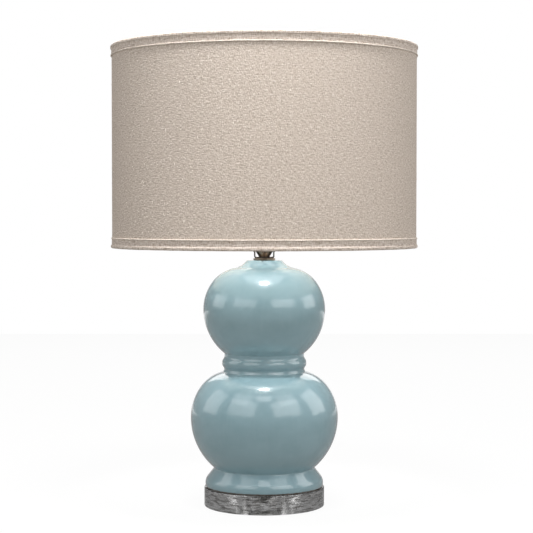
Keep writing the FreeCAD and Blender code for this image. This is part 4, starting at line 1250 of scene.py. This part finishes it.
@dataclass(frozen=True)
class Harp:
    """The wire loop that carries the shade, its swaged seat and stud, and the two locking ferrules."""

    wire: float = 2.4
    post: float = 28.6
    foot: float = 372.0
    straight: float = 396.0
    out_curve: float = 12.0
    out_turn: float = 50.0
    run: float = 14.0
    hip_curve: float = 30.0
    hip_turn: float = 5.0
    side_curve: float = 400.0
    top: float = 584.0
    flat: float = 10.0
    seat: float = 7.0
    seat_low: float = 579.0
    seat_top: float = 589.0
    stud: float = 3.1
    stud_top: float = 604.0
    ferrule: float = 4.2
    ferrule_bore: float = 2.7
    ferrule_low: float = 359.5
    ferrule_length: float = 18.0

    def half(self) -> list[To]:
        """Corners of the wire's right half, from its foot to the middle of its top."""
        out, hip = math.radians(self.out_turn), math.radians(self.hip_turn)
        out_end = (self.post + self.out_curve * (1 - math.cos(out)),
                   self.straight + self.out_curve * math.sin(out))
        run_end = (out_end[0] + self.run * math.sin(out), out_end[1] + self.run * math.cos(out))
        hip_mid = (run_end[0] - self.hip_curve * math.cos(out), run_end[1] + self.hip_curve * math.sin(out))
        hip_end = (hip_mid[0] + self.hip_curve * math.cos(hip), hip_mid[1] - self.hip_curve * math.sin(hip))
        side = (hip_end[0] - self.side_curve * math.cos(hip), hip_end[1] + self.side_curve * math.sin(hip))
        across, up = self.flat - side[0], self.top - side[1]
        crown = (self.side_curve ** 2 - across ** 2 - up ** 2) / (2 * (self.side_curve - up))
        turn = math.atan2(up - crown, across)
        side_end = (side[0] + self.side_curve * math.cos(turn), side[1] + self.side_curve * math.sin(turn))
        return [
            To(self.post, self.foot), To(self.post, self.straight),
            To(*out_end, self.out_curve, Turn.RIGHT), To(*run_end), To(*hip_end, self.hip_curve, Turn.LEFT),
            To(*side_end, self.side_curve, Turn.LEFT), To(self.flat, self.top, crown, Turn.LEFT),
            To(0, self.top)]

    def build(self, repeats: Repeats) -> None:
        """Make the loop, its seat and stud, and the ferrules."""
        half = outline(self.half(), closed=False)
        path = [Vector((x, 0, z)) for x, z in half] + [Vector((-x, 0, z)) for x, z in half[-2::-1]]
        settle(mesh_object("harp_wire", sweep(path, circle_section(self.wire), Vector((0, 1, 0)))),
               Finishes.nickel, Role("harp", "nickel", ("harp_loop",)))
        block = outline([To(0, self.seat_low), To(self.seat, self.seat_low, soft=0.8),
                         To(self.seat, self.seat_top, soft=0.8), To(0, self.seat_top)], closed=False)
        settle(mesh_object("harp_seat_swaged", lathe(block, 64, closed=False)), Finishes.nickel,
               Role("harp", "nickel", ("harp_seat",)))
        core = self.stud - 0.25
        rod = outline([To(0, self.seat_top - 0.5), To(core, self.seat_top - 0.5),
                       To(core, self.stud_top, soft=0.6), To(0, self.stud_top)], closed=False)
        settle(mesh_object("harp_stud_turned", lathe(rod, 32, closed=False)), Finishes.nickel,
               Role("harp", "nickel", ("harp_stud",)))
        rib = repeats.screw("harp_stud_thread", core, FINE_PITCH, 0.25, self.seat_top + 0.3, self.stud_top - 0.8,
                            Finishes.nickel)
        settle(rib, Finishes.nickel, Role("harp", "nickel", ()))
        sleeve = outline([
            To(self.ferrule_bore, self.ferrule_low, soft=0.3), To(self.ferrule, self.ferrule_low, soft=0.6),
            To(self.ferrule, self.ferrule_low + self.ferrule_length, soft=0.6),
            To(self.ferrule_bore, self.ferrule_low + self.ferrule_length, soft=0.3)])
        for side, place in (("left", -self.post), ("right", self.post)):
            tube = lathe(sleeve, 48).moved(Matrix.Translation((place, 0, 0)))
            settle(mesh_object(f"ferrule_{side}_turned", tube), Finishes.nickel,
                   Role(f"{side}_ferrule", "nickel", (f"ferrule_{side}",)))


# ---------------------------------------------------------------------------
# Shade
# ---------------------------------------------------------------------------

@dataclass(frozen=True)
class Shade:
    """A hard-backed drum: linen on styrene film, wire rings in folded tape, and a three-armed spider."""

    low: float = 346.5
    top: float = 613.7
    cloth: float = 202.6
    cloth_thick: float = 0.7
    film_thick: float = 0.6
    tape: float = 204.3
    band: float = 14.0
    lip: float = 0.8
    tuck: float = 6.5
    inner: float = 197.2
    ring: float = 199.7
    ring_wire: float = 1.5
    ring_inset: float = 2.4
    hub: float = 12.5
    hub_hole: float = 3.7
    hub_low: float = 589.2
    hub_thick: float = 1.6
    arm: float = 1.6
    arm_bend: float = 186.0
    arm_curve: float = 8.0
    arm_end: float = 198.4
    arm_rise: float = 30.0
    lap: float = 10.0
    slub_seed: int = 11

    def uneven(self, angle: float, radius: float, height: float) -> tuple[float, float]:
        """Let hand-rolled tape and stretched cloth stray by a few tenths of a millimetre."""
        spot = Vector((math.cos(angle) * 9, math.sin(angle) * 9, height / 22))
        return radius + noise.noise(spot) * 0.12, height + noise.noise(spot * 1.7) * 0.18

    def drum(self) -> tuple[bpy.types.Object, bpy.types.Object]:
        """The cloth and the film behind it."""
        low, top = self.low + self.lip, self.top - self.lip
        middle = self.cloth - self.cloth_thick
        steps = [low + (top - low) * k / 24 for k in range(25)]

        def tube(outer: float, inner: float) -> Line:
            """The section of a wall between two radii."""
            return [(outer, z) for z in steps] + [(inner, z) for z in reversed(steps)]

        film = settle(mesh_object("shade_film", lathe(tube(middle, middle - self.film_thick), 192)),
                      Finishes.liner, Role("shade", "liner", ("shade_liner",)))
        cloth = settle(mesh_object("shade_linen", lathe(tube(self.cloth, middle + 0.02), 192)),
                       Finishes.linen, Role("shade", "linen", ("shade_fabric",)))
        return cloth, film

    def slubs(self, repeats: Repeats) -> bpy.types.Object:
        """The linen's thick places, half sunk in the cloth."""
        wall = [(self.cloth - 0.05, self.low + self.band), (self.cloth - 0.05, self.top - self.band)]
        host = mesh_object("linen_slubs", lathe(wall, 128, closed=False))
        item = run_tree("linen_slubs", repeats.slubs, host, {
            "Density": 3200.0, "Shortest": 0.7 * MM, "Longest": 2.2 * MM, "Thick": 0.42 * MM,
            "Upright share": 0.35, "Seed": self.slub_seed, "Material": Finishes.slub.material()})
        return settle(item, Finishes.slub, Role("shade", "linen", ()))

    def tape_line(self, edge: float, inward: int) -> Line:
        """Section of the tape: a bead over the wire, a sunk band and the tuck inside."""
        def z(down: float) -> float:
            """Height of a point some way in from the rim."""
            return edge + inward * down
        base = self.cloth
        corners = [
            To(base, z(4.6)), To(base, z(self.band)), To(base + 0.55, z(self.band), soft=0.2),
            To(base + 0.5, z(6.2), soft=1.4), To(base + 0.7, z(4.9), soft=0.8),
            To(self.tape, z(3.6), soft=1.3), To(self.tape, z(1.0), soft=1.3),
            To(self.tape - 1.6, z(0), soft=1.2),
            To(self.inner + 1.2, z(0), soft=1.0), To(self.inner, z(1.2), soft=1.0),
            To(self.inner, z(self.tuck), soft=0.3), To(self.inner + 0.8, z(self.tuck), soft=0.3),
            To(self.inner + 0.8, z(4.6))]
        return outline(corners)

    def tapes(self) -> list[bpy.types.Object]:
        """The two tapes, each with the doubled fold along its inner edge."""
        made = []
        for end, edge, inward in (("top", self.top, -1), ("bottom", self.low, 1)):
            item = mesh_object(f"{end}_tape", lathe(self.tape_line(edge, inward), 240, warp=self.uneven))
            made.append(settle(item, Finishes.tape, Role("shade", "linen_trim", (f"{end}_trim",))))
            middle = edge + inward * (self.band - 1.0)
            fold = outline([
                To(self.cloth + 0.3, middle - 1.0, soft=0.1), To(self.cloth + 1.5, middle - 0.8, soft=0.7),
                To(self.cloth + 1.5, middle + 0.8, soft=0.7), To(self.cloth + 0.3, middle + 1.0)])
            item = mesh_object(f"{end}_tape_fold", lathe(fold, 240, warp=self.uneven))
            # The fold's lighter finish is a painted highlight along the tape.
            made.append(settle(item, Finishes.fold, Role("shade", "linen_trim", ())))
        return made

    def seam(self) -> bpy.types.Object:
        """The cloth's glued lap at the back."""
        path = [Vector((0, self.cloth + 0.05, self.low + self.band / 2)),
                Vector((0, self.cloth + 0.05, self.top - self.band / 2))]
        strip = sweep(path, strip_section(0.7, self.lap, 0.2), Vector((1, 0, 0)))
        return settle(mesh_object("shade_lap", strip), Finishes.linen, Role("shade", "linen", ()))

    def frame(self) -> None:
        """The two rings and the spider."""
        for name, height in (("top_ring", self.top - self.ring_inset),
                             ("bottom_ring", self.low + self.ring_inset)):
            line = [(self.ring + x, height + z) for x, z in circle_section(self.ring_wire, 12)]
            settle(mesh_object(f"{name}_wire", lathe(line, 128)), Finishes.wire_white,
                   Role("shade", "wire_white", (name,)))
        level = self.hub_low + self.hub_thick / 2
        rise = (self.arm_end - self.arm_bend) / math.tan(math.radians(self.arm_rise))
        bend = To(self.arm_bend, level, soft=self.arm_curve)
        path = outline([To(self.hub - 2, level), bend, To(self.arm_end, level + rise)], closed=False)
        arm = sweep([Vector((x, 0, z)) for x, z in path], circle_section(self.arm, 12), Vector((0, 1, 0)))
        spider = lathe(outline([
            To(self.hub_hole, self.hub_low, soft=0.3), To(self.hub, self.hub_low, soft=0.4),
            To(self.hub, self.hub_low + self.hub_thick, soft=0.4),
            To(self.hub_hole, self.hub_low + self.hub_thick, soft=0.3)]), 64)
        for turn in (90, 210, 330):
            spider = spider + arm.moved(Matrix.Rotation(math.radians(turn), 4, "Z"))
        settle(mesh_object("spider_welded", spider), Finishes.wire_white,
               Role("shade", "wire_white", ("shade_spider",)))

    def build(self, repeats: Repeats) -> None:
        """Make the shade: its frame, cloth, film, slubs, lap and tapes."""
        self.frame()
        cloth, film = self.drum()
        trims = [self.slubs(repeats), self.seam(), *self.tapes()]


# ---------------------------------------------------------------------------
# Finial and bulb
# ---------------------------------------------------------------------------

@dataclass(frozen=True)
class Finial:
    """A turned ball finial on its threaded insert."""

    low: float = 591.0
    insert: float = 4.6
    insert_top: float = 602.0
    bore: float = 3.2
    flange: float = 7.0
    neck: float = 5.5
    ball: float = 12.7
    middle: float = 615.5

    def build(self) -> None:
        """Make the insert and the knob."""
        sleeve = outline([To(self.bore, self.low, soft=0.3), To(self.insert, self.low),
                          To(self.insert, self.insert_top), To(self.bore, self.insert_top)])
        settle(mesh_object("finial_insert_turned", lathe(sleeve, 48)), Finishes.brass,
               Role("finial_thread", "brass", ("finial_insert",)))
        root = self.middle - math.sqrt(self.ball ** 2 - self.neck ** 2)
        line = outline([
            To(self.insert + 0.05, self.low), To(self.flange, self.low, soft=0.5),
            To(self.flange, self.low + 2, soft=0.7), To(6.4, self.low + 3, soft=0.4),
            To(self.neck, 603.0, 14.0, Turn.RIGHT), To(self.neck, root, soft=0.4),
            To(self.ball, self.middle, self.ball, Turn.LEFT),
            To(0, self.middle + self.ball, self.ball, Turn.LEFT), To(0, 607.5),
            To(self.bore, 606.0), To(self.bore, self.insert_top), To(self.insert + 0.05, self.insert_top)],
            step=1.0)
        settle(mesh_object("finial_ball_turned", lathe(line, 96)), Finishes.nickel,
               Role("finial_knob", "nickel", ("finial",)))


@dataclass(frozen=True)
class Bulb:
    """A small round bulb: a white glass head in a rolled screw cap with a centre contact."""

    cap: float = 13.0
    cap_low: float = 379.0
    cap_top: float = 401.0
    contact_low: float = 376.0
    neck: float = 12.6
    neck_curve: float = 48.0
    head: float = 30.0
    middle: float = 453.5

    def build(self, repeats: Repeats) -> None:
        """Make the cap with its thread, the contact and the head."""
        root = self.cap - 0.4
        line = outline([
            To(4.5, 378.0), To(7.0, 378.0, soft=0.3), To(root, self.cap_low + 3, soft=0.5),
            To(root, self.cap_top - 1.4), To(self.cap, self.cap_top - 0.7, soft=0.3),
            To(root, self.cap_top), To(root - 0.6, self.cap_top), To(root - 0.6, self.cap_low + 4),
            To(4.5, self.cap_low + 1)])
        settle(mesh_object("bulb_cap_rolled", lathe(line, 96)), Finishes.bulb_metal,
               Role("bulb_base", "bulb_metal", ("bulb_screw_cap",)))
        rib = repeats.screw("bulb_cap_thread", root - 0.05, MEDIUM_PITCH, 0.45, self.cap_low + 3.5,
                            self.cap_top - 3.5, Finishes.bulb_metal)
        settle(rib, Finishes.bulb_metal, Role("bulb_base", "bulb_metal", ()))
        tip = outline([To(0, self.contact_low), To(2.25, self.contact_low, soft=0.5),
                       To(4.5, self.contact_low + 1.5, soft=0.5), To(4.5, 380.0), To(0, 380.0)], closed=False)
        settle(mesh_object("bulb_contact_soldered", lathe(tip, 32, closed=False)), Finishes.brass,
               Role("bulb_base", "brass", ("bulb_contact",)))
        across = self.neck + self.neck_curve
        drop = math.sqrt((self.head + self.neck_curve) ** 2 - across ** 2)
        head = Arc(0, self.middle, self.head)
        meet = head.at(-math.degrees(math.atan2(drop, across)))
        glass = outline([
            To(0, self.cap_top - 6), To(self.neck - 0.6, self.cap_top - 6), To(self.neck - 0.6, self.cap_top),
            To(self.neck, self.cap_top + 0.5), To(self.neck, self.middle - drop),
            To(*meet, self.neck_curve, Turn.RIGHT), To(self.head, self.middle, self.head, Turn.LEFT),
            To(0, self.middle + self.head, self.head, Turn.LEFT)], closed=False)
        settle(mesh_object("bulb_head_blown", lathe(glass, 96, closed=False)), Finishes.bulb_glass,
               Role("bulb_head", "bulb_glass", ("bulb_globe",)))


# ---------------------------------------------------------------------------
# Studio and camera
# ---------------------------------------------------------------------------

@dataclass(frozen=True)
class Softbox:
    """A rectangular lamp: where it hangs, what it faces, its size in metres and its radiance."""

    name: str
    place: tuple[float, float, float]
    aim: tuple[float, float, float]
    size: tuple[float, float]
    radiance: float

    def build(self) -> None:
        """Hang the lamp."""
        lamp = bpy.data.lights.new(self.name, "AREA")
        lamp.shape = "RECTANGLE"
        lamp.size, lamp.size_y = self.size
        lamp.energy = self.radiance * math.pi * self.size[0] * self.size[1]
        item = bpy.data.objects.new(self.name, lamp)
        way = Vector(self.aim) - Vector(self.place)
        item.matrix_world = Matrix.Translation(self.place) @ way.to_track_quat("-Z", "Y").to_matrix().to_4x4()
        bpy.context.scene.collection.objects.link(item)


@dataclass(frozen=True)
class Studio:
    """A pale floor, a white backdrop in a dim room, and the softboxes."""

    surround: float = 0.1
    dim: float = 0.3
    floor_half: float = 3.0
    floor_colour: str = "#a3a19e"
    floor_seen: str = "#f6f5f3"
    shadow_share: float = 0.04
    softboxes: tuple[Softbox, ...] = (
        Softbox("panel_left", (-1.35, -1.75, 1.3), (0, 0, 0.35), (1.9, 1.4), 1.1),
        Softbox("panel_right", (1.35, -1.75, 1.3), (0, 0, 0.35), (1.9, 1.4), 1.5),
        Softbox("high_left", (-1.2, -1.2, 2.0), (0, 0, 0.35), (1.2, 1.2), 1.0),
        Softbox("high_right", (1.2, -1.2, 2.0), (0, 0, 0.35), (1.2, 1.2), 1.1),
        Softbox("top_front", (0, -1.3, 1.95), (0, 0, 0.35), (0.8, 0.7), 2.0),
        Softbox("overhead", (0, 0, 1.9), (0, 0, 0.35), (1.3, 1.3), 1.5),
        Softbox("side_left", (-2.0, 0.2, 1.1), (0, 0, 0.35), (1.2, 1.5), 1.1),
        Softbox("side_right", (2.0, 0.2, 1.1), (0, 0, 0.35), (1.2, 1.5), 1.6),
        Softbox("top_dish", (0, -0.4, 1.45), (0, 0, 0.3), (0.22, 0.2), 95.0),
        Softbox("back_fill", (0, 2.3, 1.5), (0, 0, 0.35), (2.4, 1.2), 1.6))

    @staticmethod
    def seen(tree: bpy.types.NodeTree) -> bpy.types.NodeSocket:
        """1 for a ray from the camera, a mirror or clear glass, and 0 for a ray that carries light."""
        path = add_node(tree, "ShaderNodeLightPath").outputs
        either = add_node(tree, "ShaderNodeMath", {0: path["Is Camera Ray"], 1: path["Is Glossy Ray"]},
                          operation="MAXIMUM")
        return add_node(tree, "ShaderNodeMath", {0: either.outputs[0], 1: path["Is Transmission Ray"]},
                        operation="MAXIMUM").outputs[0]

    def white(self, tree: bpy.types.NodeTree, source: str, start: float, end: float) -> bpy.types.NodeSocket:
        """How white a surface is seen to be: 1 for the camera, and for gloss and glass only towards the back.

        Args:
            tree: The world's or the floor's tree.
            source: Output of Texture Coordinate whose Y leads the change.
            start: Y where the dim room ends.
            end: Y where it is all white.

        Returns:
            The strength of the white.
        """
        place = add_node(tree, "ShaderNodeSeparateXYZ",
                         {"Vector": add_node(tree, "ShaderNodeTexCoord").outputs[source]})
        back = add_node(tree, "ShaderNodeMapRange", {
            "Value": place.outputs["Y"], "From Min": start, "From Max": end,
            "To Min": self.dim, "To Max": 1.0},
            interpolation_type="SMOOTHSTEP")
        camera = add_node(tree, "ShaderNodeLightPath").outputs["Is Camera Ray"]
        return add_node(tree, "ShaderNodeMath", {0: back.outputs[0], 1: camera},
                        operation="MAXIMUM").outputs[0]

    def world(self) -> None:
        """White where it is seen, and a plain soft light elsewhere."""
        world = bpy.data.worlds.new("surround")
        world.use_nodes = True
        tree = world.node_tree
        tree.nodes.clear()
        light = add_node(tree, "ShaderNodeBackground", {
            "Color": linear("#ffffff"), "Strength": self.surround})
        white = add_node(tree, "ShaderNodeBackground", {
            "Color": linear("#ffffff"), "Strength": self.white(tree, "Generated", 0.95, 0.998)})
        both = add_node(tree, "ShaderNodeMixShader", {
            0: self.seen(tree), 1: light.outputs[0], 2: white.outputs[0]})
        add_node(tree, "ShaderNodeOutputWorld", {"Surface": both.outputs[0]})
        bpy.context.scene.world = world

    def floor(self) -> None:
        """A pale floor that is seen as white, with a faint shadow."""
        half = self.floor_half / MM
        corners = ((-half, -half), (half, -half), (half, half), (-half, half))
        flat = Shell([Vector((x, y, 0)) for x, y in corners], [(0, 1, 2, 3)], [[(0, 0), (1, 0), (1, 1), (0, 1)]])
        item = mesh_object("studio_floor", flat)
        made = bpy.data.materials.new("painted_floor")
        made.use_nodes = True
        tree = made.node_tree
        tree.nodes.clear()
        seen = self.seen(tree)
        tone = add_node(tree, "ShaderNodeMix", {
            0: seen, 6: linear(self.floor_colour), 7: linear(self.floor_seen)}, data_type="RGBA")
        paint = add_node(tree, "ShaderNodeBsdfDiffuse", {"Color": tone.outputs[2]})
        white = add_node(tree, "ShaderNodeEmission", {
            "Color": linear("#ffffff"), "Strength": self.white(tree, "Object", 0.8, 2.6)})
        share = add_node(tree, "ShaderNodeMath", {0: seen, 1: 1.0 - self.shadow_share}, operation="MULTIPLY")
        both = add_node(tree, "ShaderNodeMixShader", {
            0: share.outputs[0], 1: paint.outputs[0], 2: white.outputs[0]})
        add_node(tree, "ShaderNodeOutputMaterial", {"Surface": both.outputs[0]})
        item.data.materials.append(made)

    def build(self) -> None:
        """Set the studio up."""
        self.world()
        self.floor()
        for softbox in self.softboxes:
            softbox.build()


@dataclass(frozen=True)
class PhotoCamera:
    """The photograph's view: a long lens at the middle of the lamp's height, tipped down a little."""

    place: tuple[float, float, float] = (0.003, -2.092, 0.3922)
    tip: float = 1.94
    lens: float = 105.56
    sensor: float = 36.0

    def build(self) -> None:
        """Make the camera the scene's own."""
        data = bpy.data.cameras.new("photo_camera")
        data.lens, data.sensor_width = self.lens, self.sensor
        item = bpy.data.objects.new("photo_camera", data)
        item.location = self.place
        item.rotation_euler = (math.radians(90 - self.tip), 0, 0)
        bpy.context.scene.collection.objects.link(item)
        bpy.context.scene.camera = item


def main() -> None:
    """Build the lamp and its studio."""
    logging.basicConfig(level=logging.INFO, format="%(name)s %(message)s")
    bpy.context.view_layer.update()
    bpy.context.scene.view_settings.view_transform = "Standard"
    PhotoCamera().build()
    repeats = Repeats()
    AcrylicBase().build(repeats)
    LampPipe().build(repeats)
    CeramicBody().build()
    Neck().build()
    Socket().build(repeats)
    Harp().build(repeats)
    Shade().build(repeats)
    Finial().build()
    Bulb().build(repeats)
    Studio().build()


if __name__ == "__main__":
    main()
